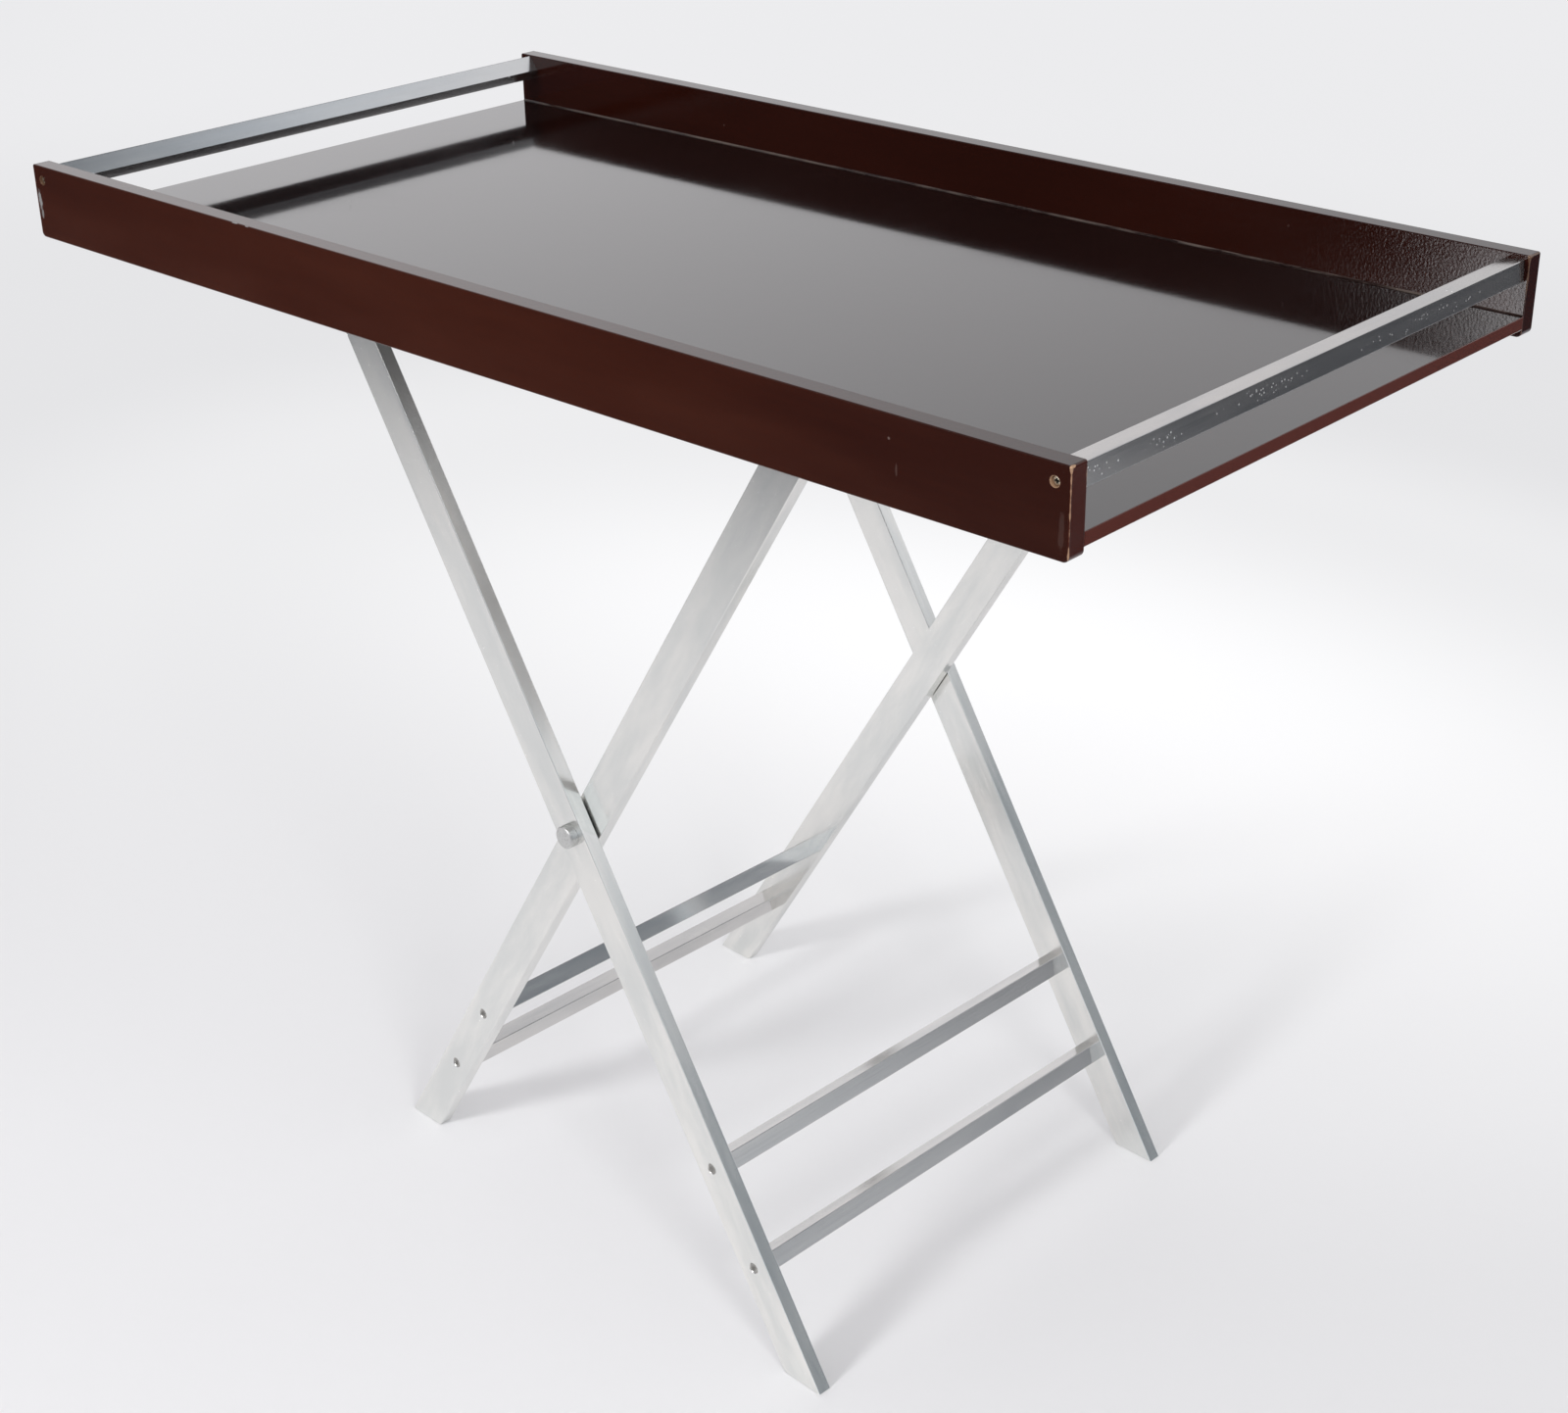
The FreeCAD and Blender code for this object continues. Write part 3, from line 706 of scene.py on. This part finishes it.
@dataclass(frozen=True)
class StudioPaper(Finish):
    """Pale paper under the table, with a pool of light behind it, painted shade near the camera and at the
    far left, and a painted ring of shadow round the pool.

    Away from the table the camera sees the paper glow. Reflections see a dark room in front of the paper and
    at its far right corner, and shaded paper on the right with one bright gleam.
    """

    name: str
    pale: Triple = (0.83, 0.83, 0.84)
    near_left_shade: Triple = (0.80, 0.80, 0.81)
    near_right_shade: Triple = (0.768, 0.768, 0.778)
    pool_middle: Triple = (-0.25, 0.72, 0.0)
    pool_reach: Triple = (1.2, 0.75, 1.0)
    pool_tone: Triple = (1.045, 1.045, 1.055)
    glow: Triple = (0.825, 0.825, 0.837)
    ring_shadow_tone: Triple = (0.758, 0.758, 0.772)
    far_tone: Triple = (0.805, 0.805, 0.820)
    left_shade_tone: Triple = (0.745, 0.745, 0.760)
    nearest: Triple = (0.2, -0.6, 0.0)
    across: Triple = (0.74, 0.67, 0.0)
    inward: Triple = (-0.67, 0.74, 0.0)
    room: Triple = (0.037, 0.045, 0.058)
    shaded: Triple = (0.58, 0.63, 0.68)
    cool: Triple = (0.95, 0.98, 1.0)
    front_ramps: tuple[Ramp, ...] = ((-0.35, -0.60, 0.0, 0.12), (-0.75, -1.35, 0.0, 0.58), (-1.10, -1.50))
    left_room: Ramp = (-1.1, -1.9, 0.0, 0.10)
    corner_x: Ramp = (1.15, 1.45)
    corner_y: Ramp = (0.85, 1.12)
    gleam_x: Ramp = (1.60, 1.88)
    gleam_y: Ramp = (2.02, 1.82)
    beside_x: Ramp = (0.75, 1.05)
    near_ramp: Ramp = (0.05, -0.25)
    near_sides: Ramp = (-0.1, 0.5)
    far_ramp: Ramp = (0.4, 1.9)
    pool_ramp: Ramp = (0.1, 1.0)
    ring_shadow_ramp: Ramp = (1.05, 1.5)
    outer_ramp: Ramp = (1.9, 3.2)
    left_across: Ramp = (-1.3, -3.2)
    left_within: Ramp = (9.0, 6.0)
    roughness: float = 0.75
    tooth_scale: float = 60.0
    tooth_depth: float = 0.0002

    def paint(self, graph: Graph, shader: Node) -> None:
        """Add the paper's nodes."""
        place = graph.place()
        x, y, _ = graph.parts(place)
        path = graph.node("ShaderNodeLightPath")
        mirrored = path.outputs["Is Glossy Ray"]
        across = graph.vector("DOT_PRODUCT", place, self.across)
        near = graph.remap(graph.vector("DOT_PRODUCT", place, self.inward), *self.near_ramp)
        # Painted shade: the paper is darker near the camera, most at the right.
        near_shade_tone = graph.mix(graph.remap(across, *self.near_sides), self.near_left_shade, self.near_right_shade)
        front = graph.either(*(graph.remap(y, *ramp) for ramp in self.front_ramps))
        front = graph.total(front, graph.remap(x, *self.left_room))
        corner = graph.times(graph.remap(x, *self.corner_x), graph.remap(y, *self.corner_y))
        gleam = graph.times(graph.remap(x, *self.gleam_x), graph.remap(y, *self.gleam_y))
        beyond = graph.either(front, graph.less(corner, gleam))
        beside = graph.remap(x, *self.beside_x)
        colour = graph.mix(near, self.pale, near_shade_tone)
        colour = graph.mix(graph.times(beside, mirrored), colour, graph.mix(gleam, self.shaded, self.cool))
        colour = graph.mix(graph.times(beyond, mirrored), colour, self.room)
        far = graph.remap(graph.distance(place, self.nearest), *self.far_ramp)
        far = graph.times(far, path.outputs["Is Camera Ray"])
        from_pool = graph.vector("DIVIDE", graph.vector("SUBTRACT", place, self.pool_middle), self.pool_reach)
        from_pool = graph.vector("LENGTH", from_pool)
        glow = graph.mix(graph.remap(from_pool, *self.pool_ramp), self.pool_tone, self.glow)
        # Painted shadow of the tray in the glow: a darker ring round the pool.
        glow = graph.mix(graph.remap(from_pool, *self.ring_shadow_ramp), glow, self.ring_shadow_tone)
        glow = graph.mix(graph.remap(from_pool, *self.outer_ramp), glow, self.far_tone)
        # Painted shade: the glow darkens at the far left.
        left = graph.times(graph.remap(across, *self.left_across), graph.remap(from_pool, *self.left_within))
        tooth = graph.noise(place, self.tooth_scale)
        graph.fill(shader, {"Base Color": graph.mix(far, colour, BLACK), "Roughness": self.roughness,
                            "Emission Color": graph.mix(left, glow, self.left_shade_tone), "Emission Strength": far,
                            "Specular IOR Level": 0.2, "Normal": graph.bump(tooth, self.tooth_depth)})


def report(name: str, finish: str) -> None:
    """Log a finished piece."""
    log.info("%s: %s", name, finish)


def dress(nodes: Nodes, name: str, material: bpy.types.Material) -> None:
    """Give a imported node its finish.

    Args:
        nodes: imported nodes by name.
        name: node to dress.
        material: its finish.
    """
    for slot in nodes[name].material_slots:
        slot.material = material
    report(name, material.name)


def add_piece(name: str, shape: Shape, material: bpy.types.Material, body: str,
              stands_for: str = "", crease: float = 32.0) -> None:
    """Turn a finished shape into a piece that rides on a body.

    Args:
        name: name of the piece.
        shape: its shape in the part's frame; it is freed.
        material: its finish.
        body: body it moves with.
        stands_for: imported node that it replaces, if any.
        crease: edges sharper than this many degrees stay sharp.
    """
    bmesh.ops.recalc_face_normals(shape, faces=shape.faces)
    mesh = bpy.data.meshes.new(name)
    shape.to_mesh(mesh)
    shape.free()
    mesh.shade_smooth()
    mesh.set_sharp_from_angle(angle=math.radians(crease))
    mesh.materials.append(material)
    piece = bpy.data.objects.new(name, mesh)
    bpy.context.scene.collection.objects.link(piece)
    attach(piece, body)
    if stands_for:
        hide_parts(stands_for)
    report(name, material.name)


@dataclass(frozen=True)
class CrossScrew:
    """Cross-recessed screw along Z, with the middle of its head's top at the origin and its shank below.

    The cross and the tip are given as shares of the head's and the shank's sizes.
    """

    head: Head
    head_radius: float
    head_height: float
    shank_radius: float
    length: float
    segments: int = 36
    arm_length: float = 0.60
    arm_half_width: float = 0.16
    recess_depth: float = 0.62
    recess_taper: float = 0.62
    tip_length: float = 0.5
    tip_taper: float = 0.6

    def ring(self, shape: Shape, edges: list[bmesh.types.BMEdge], radius: float, new_radius: float,
             drop: float) -> list[bmesh.types.BMEdge]:
        """Extrude a round of edges to another radius and depth.

        Args:
            shape: the screw's mesh.
            edges: round of edges to extrude.
            radius: its radius now.
            new_radius: radius of the new round.
            drop: how far the new round lies below.

        Returns:
            The new round of edges.
        """
        made = bmesh.ops.extrude_edge_only(shape, edges=edges)["geom"]
        verts = [part for part in made if isinstance(part, bmesh.types.BMVert)]
        factor = new_radius / radius
        bmesh.ops.scale(shape, vec=(factor, factor, 1.0), verts=verts)
        bmesh.ops.translate(shape, vec=(0.0, 0.0, -drop), verts=verts)
        return [part for part in made if isinstance(part, bmesh.types.BMEdge)
                and all(vert in verts for vert in part.verts)]

    def recess(self, shape: Shape) -> list[bmesh.types.BMEdge]:
        """Make the cross-shaped recess in the plane of the head's top.

        Args:
            shape: the screw's mesh.

        Returns:
            The edges round the recess's mouth.
        """
        arm = self.head_radius * self.arm_length
        half_width = self.head_radius * self.arm_half_width
        grid = bmesh.ops.create_grid(shape, x_segments=3, y_segments=3, size=arm)["verts"]
        for vert in grid:
            for axis in range(2):
                if abs(vert.co[axis]) < arm / 2:
                    vert.co[axis] = math.copysign(half_width, vert.co[axis])
        corners = [face for face in shape.faces
                   if all(abs(part) > half_width for part in face.calc_center_median()[:2])]
        bmesh.ops.delete(shape, geom=corners, context="FACES")
        cross = list(shape.faces)
        mouth = [edge for edge in shape.edges if edge.is_boundary]
        made = bmesh.ops.extrude_face_region(shape, geom=cross)["geom"]
        floor = [part for part in made if isinstance(part, bmesh.types.BMVert)]
        bmesh.ops.delete(shape, geom=cross, context="FACES_ONLY")
        bmesh.ops.scale(shape, vec=(self.recess_taper, self.recess_taper, 1.0), verts=floor)
        bmesh.ops.translate(shape, vec=(0.0, 0.0, -self.head_height * self.recess_depth), verts=floor)
        return mouth

    def shape(self) -> Shape:
        """Model the screw.

        Returns:
            Its mesh.
        """
        flat_share, rounds = self.head.value
        shape = bmesh.new()
        mouth = self.recess(shape)
        radius = self.head_radius * flat_share
        circle = bmesh.ops.create_circle(shape, segments=self.segments, radius=radius)["verts"]
        edges = list({edge for vert in circle for edge in vert.link_edges})
        bmesh.ops.bridge_loops(shape, edges=mouth + edges)
        depth = 0.0
        for share, part in rounds:
            edges = self.ring(shape, edges, radius, self.head_radius * share, self.head_height * part)
            radius = self.head_radius * share
            depth += self.head_height * part
        edges = self.ring(shape, edges, radius, self.shank_radius, self.head_height - depth)
        tip = self.shank_radius * self.tip_length
        edges = self.ring(shape, edges, self.shank_radius, self.shank_radius, self.length - tip)
        edges = self.ring(shape, edges, self.shank_radius, self.shank_radius * self.tip_taper, tip)
        bmesh.ops.contextual_create(shape, geom=edges)
        return shape

    def set_at(self, places: Iterable[Matrix]) -> Shape:
        """Model copies of the screw at several places.

        Args:
            places: where each one goes.

        Returns:
            One mesh of all of them.
        """
        single = self.shape()
        mesh = bpy.data.meshes.new("screw")
        single.to_mesh(mesh)
        single.free()
        group = bmesh.new()
        for place in places:
            before = len(group.verts)
            group.from_mesh(mesh)
            group.verts.ensure_lookup_table()
            bmesh.ops.transform(group, matrix=place, verts=group.verts[before:])
        bpy.data.meshes.remove(mesh)
        return group


def facing(point: Vector, outward: Vector, turn: float) -> Matrix:
    """Place of a screw.

    Args:
        point: middle of its head's top.
        outward: level direction that its head faces.
        turn: degrees that its cross is turned by.

    Returns:
        The matrix that takes a screw along Z there.
    """
    aim = outward.to_track_quat("Z", "Y").to_matrix().to_4x4()
    return Matrix.Translation(point) @ aim @ Matrix.Rotation(math.radians(turn), 4, "Z")


@dataclass
class Tray:
    """The loose tray: side boards, base, dowels, and the lacquer bead in the joints between them."""

    nodes: Nodes
    bead: float = 0.0011
    bead_steps: int = 4
    bead_inset: float = 0.001

    def dress_front_board(self) -> None:
        """Finish the front board, with its chips near the left end, its hazy spots near the right end and
        painted shade darkening it towards that end.
        """
        low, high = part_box("front_side_board")
        chips = (Scuff((low.x + 0.0040, low.y, 0.7500), (0.0024, 0.0020, 0.0090), 0.65),
                 Scuff((low.x + 0.0048, low.y, 0.7410), (0.0016, 0.0020, 0.0045), 0.45),
                 Scuff((-0.232, low.y, high.z), (0.0050, 0.0012, 0.0009), 0.7),
                 Scuff((-0.218, low.y, high.z), (0.0025, 0.0010, 0.0008), 0.5))
        hazes = (Scuff((0.3565, low.y, 0.7630), (0.0012, 0.003, 0.0012), 0.7),
                 Scuff((0.3620, low.y, 0.7460), (0.0008, 0.003, 0.0050), 0.25),
                 Scuff((0.4748, low.y, 0.7400), (0.0024, 0.003, 0.0130), 0.14))
        # Painted shade: the front board is darkened towards its right end.
        lacquer = BoardLacquer("front_board_lacquer", tuple(low), tuple(high), chips, hazes,
                               right_end_painted_shade=0.55)
        dress(self.nodes, "front_side_board", lacquer.material())

    def dress_back_board(self) -> None:
        """Finish the back board, which is glossier and less worn, with its lacquer and end grain painted
        darker as painted shade.
        """
        low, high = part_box("back_side_board")
        hazes = (Scuff((0.30, low.y, 0.765), (0.0010, 0.003, 0.0010), 0.2),)
        # Darker warm, deep and end-grain colours than the front board's: painted shade of the back board.
        lacquer = BoardLacquer("back_board_lacquer", tuple(low), tuple(high), hazes=hazes,
                               warm=(0.020, 0.0034, 0.0016), deep=(0.011, 0.0019, 0.0009),
                               end_grain=(0.018, 0.0032, 0.0018), wear=0.25, roughness=0.08,
                               peel_depth=0.000055)
        dress(self.nodes, "back_side_board", lacquer.material())

    def dress(self) -> None:
        """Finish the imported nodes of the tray."""
        self.dress_front_board()
        self.dress_back_board()
        low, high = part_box("tray_base")
        dress(self.nodes, "tray_base", BaseLacquer("base_gloss_lacquer", high.x, low.z).material())
        wood = PlainWood("dowel_beech", ALONG_Y).material()
        for face in Face:
            dress(self.nodes, f"{face.name.lower()}_base_dowels", wood)

    def add_joint_beads(self) -> None:
        """Add a hollow bead of lacquer along both joints between base and side boards."""
        finish = JointLine("base_joint_line").material()
        low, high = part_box("tray_base")
        start_x = low.x + self.bead_inset
        run = high.x - low.x - 2 * self.bead_inset
        for face in Face:
            edge = high.y if face is Face.BACK else low.y
            shape = bmesh.new()
            middle = Vector((start_x, edge - face.value * self.bead, high.z + self.bead))
            start = bmesh.ops.create_vert(shape, co=middle - Vector((0.0, 0.0, self.bead)))["vert"]
            bmesh.ops.spin(shape, geom=start, cent=middle, axis=ALONG_X, dvec=(0.0, 0.0, 0.0),
                           angle=face.value * math.radians(90), steps=self.bead_steps, use_duplicate=False)
            bmesh.ops.create_vert(shape, co=(start_x, edge, high.z))
            shape.verts.ensure_lookup_table()
            profile = bmesh.ops.contextual_create(shape, geom=list(shape.verts))["faces"]
            made = bmesh.ops.extrude_face_region(shape, geom=profile)["geom"]
            far = [part for part in made if isinstance(part, bmesh.types.BMVert)]
            bmesh.ops.translate(shape, vec=(run, 0.0, 0.0), verts=far)
            add_piece(f"{face.name.lower()}_base_joint_bead", shape, finish, "tray")


@dataclass
class Handle:
    """One square handle bar and the two screws that it turns on."""

    nodes: Nodes
    side: Side
    cross_turn: float
    head_top: float = 0.25015
    bright: Triple = (0.64, 0.635, 0.63)
    dull: Triple = (0.54, 0.545, 0.55)
    cloud_scale: float = 20.0
    metallic: float = 0.96
    marks: tuple[Scuff, ...] = ()
    screw: CrossScrew = CrossScrew(Head.PAN, 0.0028, 0.0022, 0.00175, 0.028)

    @property
    def name(self) -> str:
        """The handle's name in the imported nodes."""
        return self.side.name.lower()

    def dress(self) -> None:
        """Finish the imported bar."""
        metal = DrawnAluminium(f"{self.name}_bar_aluminium", ALONG_Y, self.bright, self.dull, roughness=0.20,
                               metallic=self.metallic, cloud_scale=self.cloud_scale, dent_share=0.06,
                               marks=self.marks)
        dress(self.nodes, f"{self.name}_handle_bar", metal.material())

    def add_screws(self) -> None:
        """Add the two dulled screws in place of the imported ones."""
        metal = TurnedMetal(f"{self.name}_screw_brass", bright=(0.74, 0.67, 0.55), stain=(0.44, 0.37, 0.28),
                            roughness=0.34).material()
        places = []
        for face in Face:
            point = Vector((self.side.value * HANDLE_X, face.value * self.head_top, HANDLE_Z))
            places.append(facing(point, Vector((0.0, face.value, 0.0)), face.value * self.cross_turn))
        add_piece(f"{self.name}_handle_cross_screws", self.screw.set_at(places), metal, f"{self.name}_handle",
                  f"{self.name}_handle_screws")


@dataclass
class StandFrame:
    """One of the two crossed frames: two flat legs, three square rails and their screws."""

    nodes: Nodes
    frame: Frame
    half_width: float
    marks: tuple[Scuff, ...] = ()
    lean: float = 32.0
    stand_turn: float = -2.7
    sink: float = 0.0002
    first_cross_turn: float = 17.0
    next_cross_turn: float = 31.0
    screw: CrossScrew = CrossScrew(Head.COUNTERSUNK, 0.0038, 0.0021, 0.0020, 0.026)

    @property
    def name(self) -> str:
        """The frame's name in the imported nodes."""
        return self.frame.name.lower()

    @property
    def across(self) -> Vector:
        """Unit vector along the rails, from the front leg to the back leg."""
        turn = math.radians(self.stand_turn)
        return Vector((-math.sin(turn), math.cos(turn), 0.0))

    @property
    def along_leg(self) -> Triple:
        """Unit vector up along the legs."""
        lean = math.radians(self.lean)
        turn = math.radians(self.stand_turn)
        level = self.frame.value * math.sin(lean)
        return (level * math.cos(turn), level * math.sin(turn), math.cos(lean))

    def dress(self) -> None:
        """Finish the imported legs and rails."""
        legs = DrawnAluminium(f"{self.name}_leg_aluminium", self.along_leg, bright=(0.87, 0.86, 0.83),
                              dull=(0.735, 0.745, 0.73), roughness=0.20, metallic=0.92, cloud_scale=48.0,
                              dent_share=0.012, marks=self.marks).material()
        rails = DrawnAluminium(f"{self.name}_rail_aluminium", tuple(self.across), bright=(0.71, 0.695, 0.68),
                               dull=(0.61, 0.605, 0.60), roughness=0.16, metallic=0.96, cloud_scale=40.0,
                               dent_share=0.02).material()
        for face in Face:
            dress(self.nodes, f"{self.name}_{face.name.lower()}_leg", legs)
        for level in RAIL_LEVELS:
            dress(self.nodes, f"{self.name}_{level}_rail", rails)

    def add_screws(self) -> None:
        """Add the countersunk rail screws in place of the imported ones."""
        metal = TurnedMetal(f"{self.name}_screw_steel", bright=(0.42, 0.41, 0.39), stain=(0.20, 0.185, 0.165),
                            roughness=0.36).material()
        places = []
        for number, level in enumerate(RAIL_LEVELS):
            low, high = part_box(f"{self.name}_{level}_rail")
            middle = (low + high) / 2
            turn = self.first_cross_turn + self.next_cross_turn * number
            for face in Face:
                outward = self.across * face.value
                places.append(facing(middle + outward * (self.half_width - self.sink), outward, turn))
        add_piece(f"{self.name}_rail_cross_screws", self.screw.set_at(places), metal, f"{self.name}_frame",
                  f"{self.name}_rail_screws")


@dataclass
class Pivots:
    """The two pivot pins with their washers, and the hidden stop pins beside them."""

    nodes: Nodes

    def dress(self) -> None:
        """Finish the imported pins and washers."""
        steel = TurnedMetal("pivot_steel", bright=(0.62, 0.62, 0.61), stain=(0.44, 0.44, 0.43),
                            roughness=0.30).material()
        nylon = WasherNylon("pivot_spacer_nylon").material()
        for face in Face:
            name = face.name.lower()
            dress(self.nodes, f"{name}_pivot_pin", steel)
            dress(self.nodes, f"{name}_stop_pin", steel)
            dress(self.nodes, f"{name}_pivot_washer", nylon)


@dataclass
class Softbox:
    """A square soft lamp that the camera doesn't see."""

    name: str
    position: Triple
    target: Triple
    size: float
    watts: float
    mirrored: bool = True

    def place(self) -> None:
        """Hang the lamp and aim it."""
        lamp = bpy.data.lights.new(self.name, "AREA")
        lamp.shape = "SQUARE"
        lamp.size = self.size
        lamp.energy = self.watts
        holder = bpy.data.objects.new(self.name, lamp)
        holder.location = self.position
        aim = Vector(self.target) - Vector(self.position)
        holder.rotation_euler = aim.to_track_quat("-Z", "Y").to_euler()
        holder.visible_camera = False
        holder.visible_glossy = self.mirrored
        bpy.context.scene.collection.objects.link(holder)
        report(self.name, "soft lamp")


@dataclass
class Studio:
    """Paper floor, soft light from the front and from the right, and the camera of the photograph."""

    floor_radius: float = 14.0
    floor_segments: int = 96
    floor_drop: float = 0.0004
    camera_position: Triple = (1.198597, -1.247561, 1.250338)
    camera_degrees: Triple = (63.4703, 0.7678, 42.4555)
    lens_mm: float = 58.10
    sensor_mm: float = 36.0
    fill: float = 1.30
    high_fill: float = 0.30
    fill_ramp: Ramp = (0.40, 0.85)
    backdrop: float = 1.0
    horizon: float = 0.84
    undimmed: float = 1.3
    dark_room: float = 0.15
    dim_side: float = 0.26
    dim_ceiling: float = 0.06
    key: Triple = (0.76, -0.47, 0.45)
    key_ramp: Ramp = (0.80, 0.92)
    window: Triple = (-0.3951, -0.8696, 0.2962)
    window_ramp: Ramp = (0.9986, 0.9994)
    window_strength: float = 26.0
    neutral: Triple = (0.99, 0.98, 1.0)
    cool: Triple = (0.84, 0.95, 1.06)
    cool_ramp: Ramp = (0.68, 0.78)
    right_ramp: Ramp = (0.45, 0.58)
    band_foot: Ramp = (0.31, 0.40)
    band_top: Ramp = (0.50, 0.44)
    back_left: Ramp = (-0.45, -0.85, 0.86, 1.20)
    back_middle: Ramp = (-0.35, 0.0, 0.0, 0.14)
    front_ramp: Ramp = (0.12, -0.15)
    low_left_x: Ramp = (-0.35, -0.65)
    low_left_z: Ramp = (0.20, 0.12, 0.0, 0.6)
    high_ramp: Ramp = (0.35, 0.60, 0.0, 0.85)
    ceiling_ramp: Ramp = (0.73, 0.795)
    overhead_x: Ramp = (0.24, 0.04)
    overhead_z: Ramp = (0.69, 0.75)
    skyline: Ramp = (0.05, 0.22, 0.80, 1.0)

    def lay_floor(self) -> None:
        """Lay the round paper floor."""
        shape = bmesh.new()
        bmesh.ops.create_circle(shape, cap_ends=True, segments=self.floor_segments, radius=self.floor_radius)
        bmesh.ops.translate(shape, vec=(0.0, 0.0, -self.floor_drop), verts=shape.verts)
        mesh = bpy.data.meshes.new("paper_floor")
        shape.to_mesh(mesh)
        shape.free()
        mesh.materials.append(StudioPaper("studio_paper").material())
        floor = bpy.data.objects.new("paper_floor", mesh)
        bpy.context.scene.collection.objects.link(floor)
        report("paper_floor", "stage")

    def mirrored_room(self, graph: Graph, direction: Feed, side: Feed) -> Feed:
        """Brightness of the room in reflections: pale behind the table, dim elsewhere, two lit patches.

        Args:
            graph: node tree of the world.
            direction: direction of sight.
            side: mask of the dim right side.

        Returns:
            The brightness's socket.
        """
        x, y, z = graph.parts(direction)
        back = graph.total(graph.remap(x, *self.back_left), graph.remap(x, *self.back_middle))
        low_left = graph.times(graph.remap(x, *self.low_left_x), graph.remap(z, *self.low_left_z))
        front = graph.either(graph.remap(y, *self.front_ramp, self.undimmed, self.dark_room), low_left,
                             graph.remap(z, *self.high_ramp))
        overhead = graph.times(graph.remap(x, *self.overhead_x), graph.remap(z, *self.overhead_z))
        room = graph.least(back, front, graph.remap(side, 0.0, 1.0, self.undimmed, self.dim_side),
                           graph.remap(z, *self.ceiling_ramp, self.undimmed, self.dim_ceiling),
                           graph.remap(overhead, 0.0, 1.0, self.undimmed, self.dim_ceiling))
        room = graph.times(room, graph.remap(z, *self.skyline))
        towards_key = graph.vector("DOT_PRODUCT", direction, self.key)
        towards_window = graph.vector("DOT_PRODUCT", direction, self.window)
        return graph.either(room, graph.remap(towards_key, *self.key_ramp, 0.0, self.backdrop),
                            graph.remap(towards_window, *self.window_ramp, 0.0, self.window_strength))

    def light_world(self) -> None:
        """Light all round: even for the camera, a made-up room for reflections, soft fill for the rest."""
        world = bpy.data.worlds.new("studio_world")
        world.use_nodes = True
        world.cycles.sampling_method = "NONE"
        bpy.context.scene.world = world
        graph = Graph(world.node_tree)
        direction = graph.node("ShaderNodeTexCoord").outputs["Generated"]
        x, _, z = graph.parts(direction)
        band = graph.times(graph.remap(z, *self.band_foot), graph.remap(z, *self.band_top))
        side = graph.times(graph.remap(x, *self.right_ramp), graph.less(1.0, band))
        room = self.mirrored_room(graph, direction, side)
        path = graph.node("ShaderNodeLightPath")
        seen = path.outputs["Is Camera Ray"]
        mirrored = graph.either(path.outputs["Is Glossy Ray"], path.outputs["Is Transmission Ray"])
        others = graph.less(1.0, graph.either(seen, mirrored))
        soft = graph.remap(z, *self.fill_ramp, self.fill, self.high_fill)
        strength = graph.total(graph.times(seen, self.horizon), graph.times(mirrored, room),
                               graph.times(others, soft))
        tint = graph.times(graph.either(side, graph.remap(z, *self.cool_ramp)), mirrored)
        shader = graph.node("ShaderNodeBackground")
        graph.fill(shader, {"Color": graph.mix(tint, self.neutral, self.cool), "Strength": strength})
        output = graph.node("ShaderNodeOutputWorld")
        graph.feed(output.inputs["Surface"], shader.outputs["Background"])

    def hang_lamps(self) -> None:
        """Hang the two soft lamps. In reflections the room's key light stands in for the right one."""
        Softbox("front_softbox", position=(-0.66, -4.30, 2.35), target=(0.0, 0.0, 0.45), size=0.9,
                watts=110.0).place()
        Softbox("right_softbox", position=(3.45, -1.85, 2.45), target=(0.0, 0.0, 0.40), size=0.9,
                watts=47.0, mirrored=False).place()

    def set_camera(self) -> None:
        """Stand the camera where the photograph was taken from."""
        lens = bpy.data.cameras.new("photo_camera")
        lens.sensor_fit = "HORIZONTAL"
        lens.sensor_width = self.sensor_mm
        lens.lens = self.lens_mm
        camera = bpy.data.objects.new("photo_camera", lens)
        camera.location = self.camera_position
        camera.rotation_euler = Euler([math.radians(angle) for angle in self.camera_degrees])
        bpy.context.scene.collection.objects.link(camera)
        bpy.context.scene.camera = camera
        bpy.context.scene.view_settings.view_transform = "Standard"

    def build(self) -> None:
        """Set up floor, light and camera."""
        self.lay_floor()
        self.light_world()
        self.hang_lamps()
        self.set_camera()


RIGHT_BAR_SCRAPES = (Scuff((0.4770, -0.222, 0.7660), (0.004, 0.0240, 0.0060), 0.75),
                     Scuff((0.4770, -0.165, 0.7655), (0.004, 0.0320, 0.0050), 0.6),
                     Scuff((0.4770, -0.070, 0.7665), (0.004, 0.0600, 0.0050), 0.6),
                     Scuff((0.4770, 0.110, 0.7655), (0.004, 0.0900, 0.0050), 0.5))
FRONT_FOOT_MARKS = (Scuff((0.2500, -0.2050, 0.0420), (0.0045, 0.0050, 0.0110), 0.8),
                    Scuff((0.2420, -0.2080, 0.0560), (0.0030, 0.0030, 0.0060), 0.6))


def main() -> None:
    """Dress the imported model, add its small fittings and set up the studio."""
    logging.basicConfig(level=logging.INFO, format="%(message)s")
    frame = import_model()
    nodes = frame["nodes"]
    tray = Tray(nodes)
    tray.dress()
    tray.add_joint_beads()
    handles = (Handle(nodes, Side.LEFT, cross_turn=49.0),
               Handle(nodes, Side.RIGHT, cross_turn=-5.0, bright=(0.55, 0.53, 0.515),
                      dull=(0.46, 0.455, 0.455), cloud_scale=40.0, metallic=0.95, marks=RIGHT_BAR_SCRAPES))
    stands = (StandFrame(nodes, Frame.OUTER, half_width=0.197, marks=FRONT_FOOT_MARKS),
              StandFrame(nodes, Frame.INNER, half_width=0.1845))
    for group in (*handles, *stands):
        group.dress()
        group.add_screws()
    Pivots(nodes).dress()
    Studio().build()


if __name__ == "__main__":
    main()
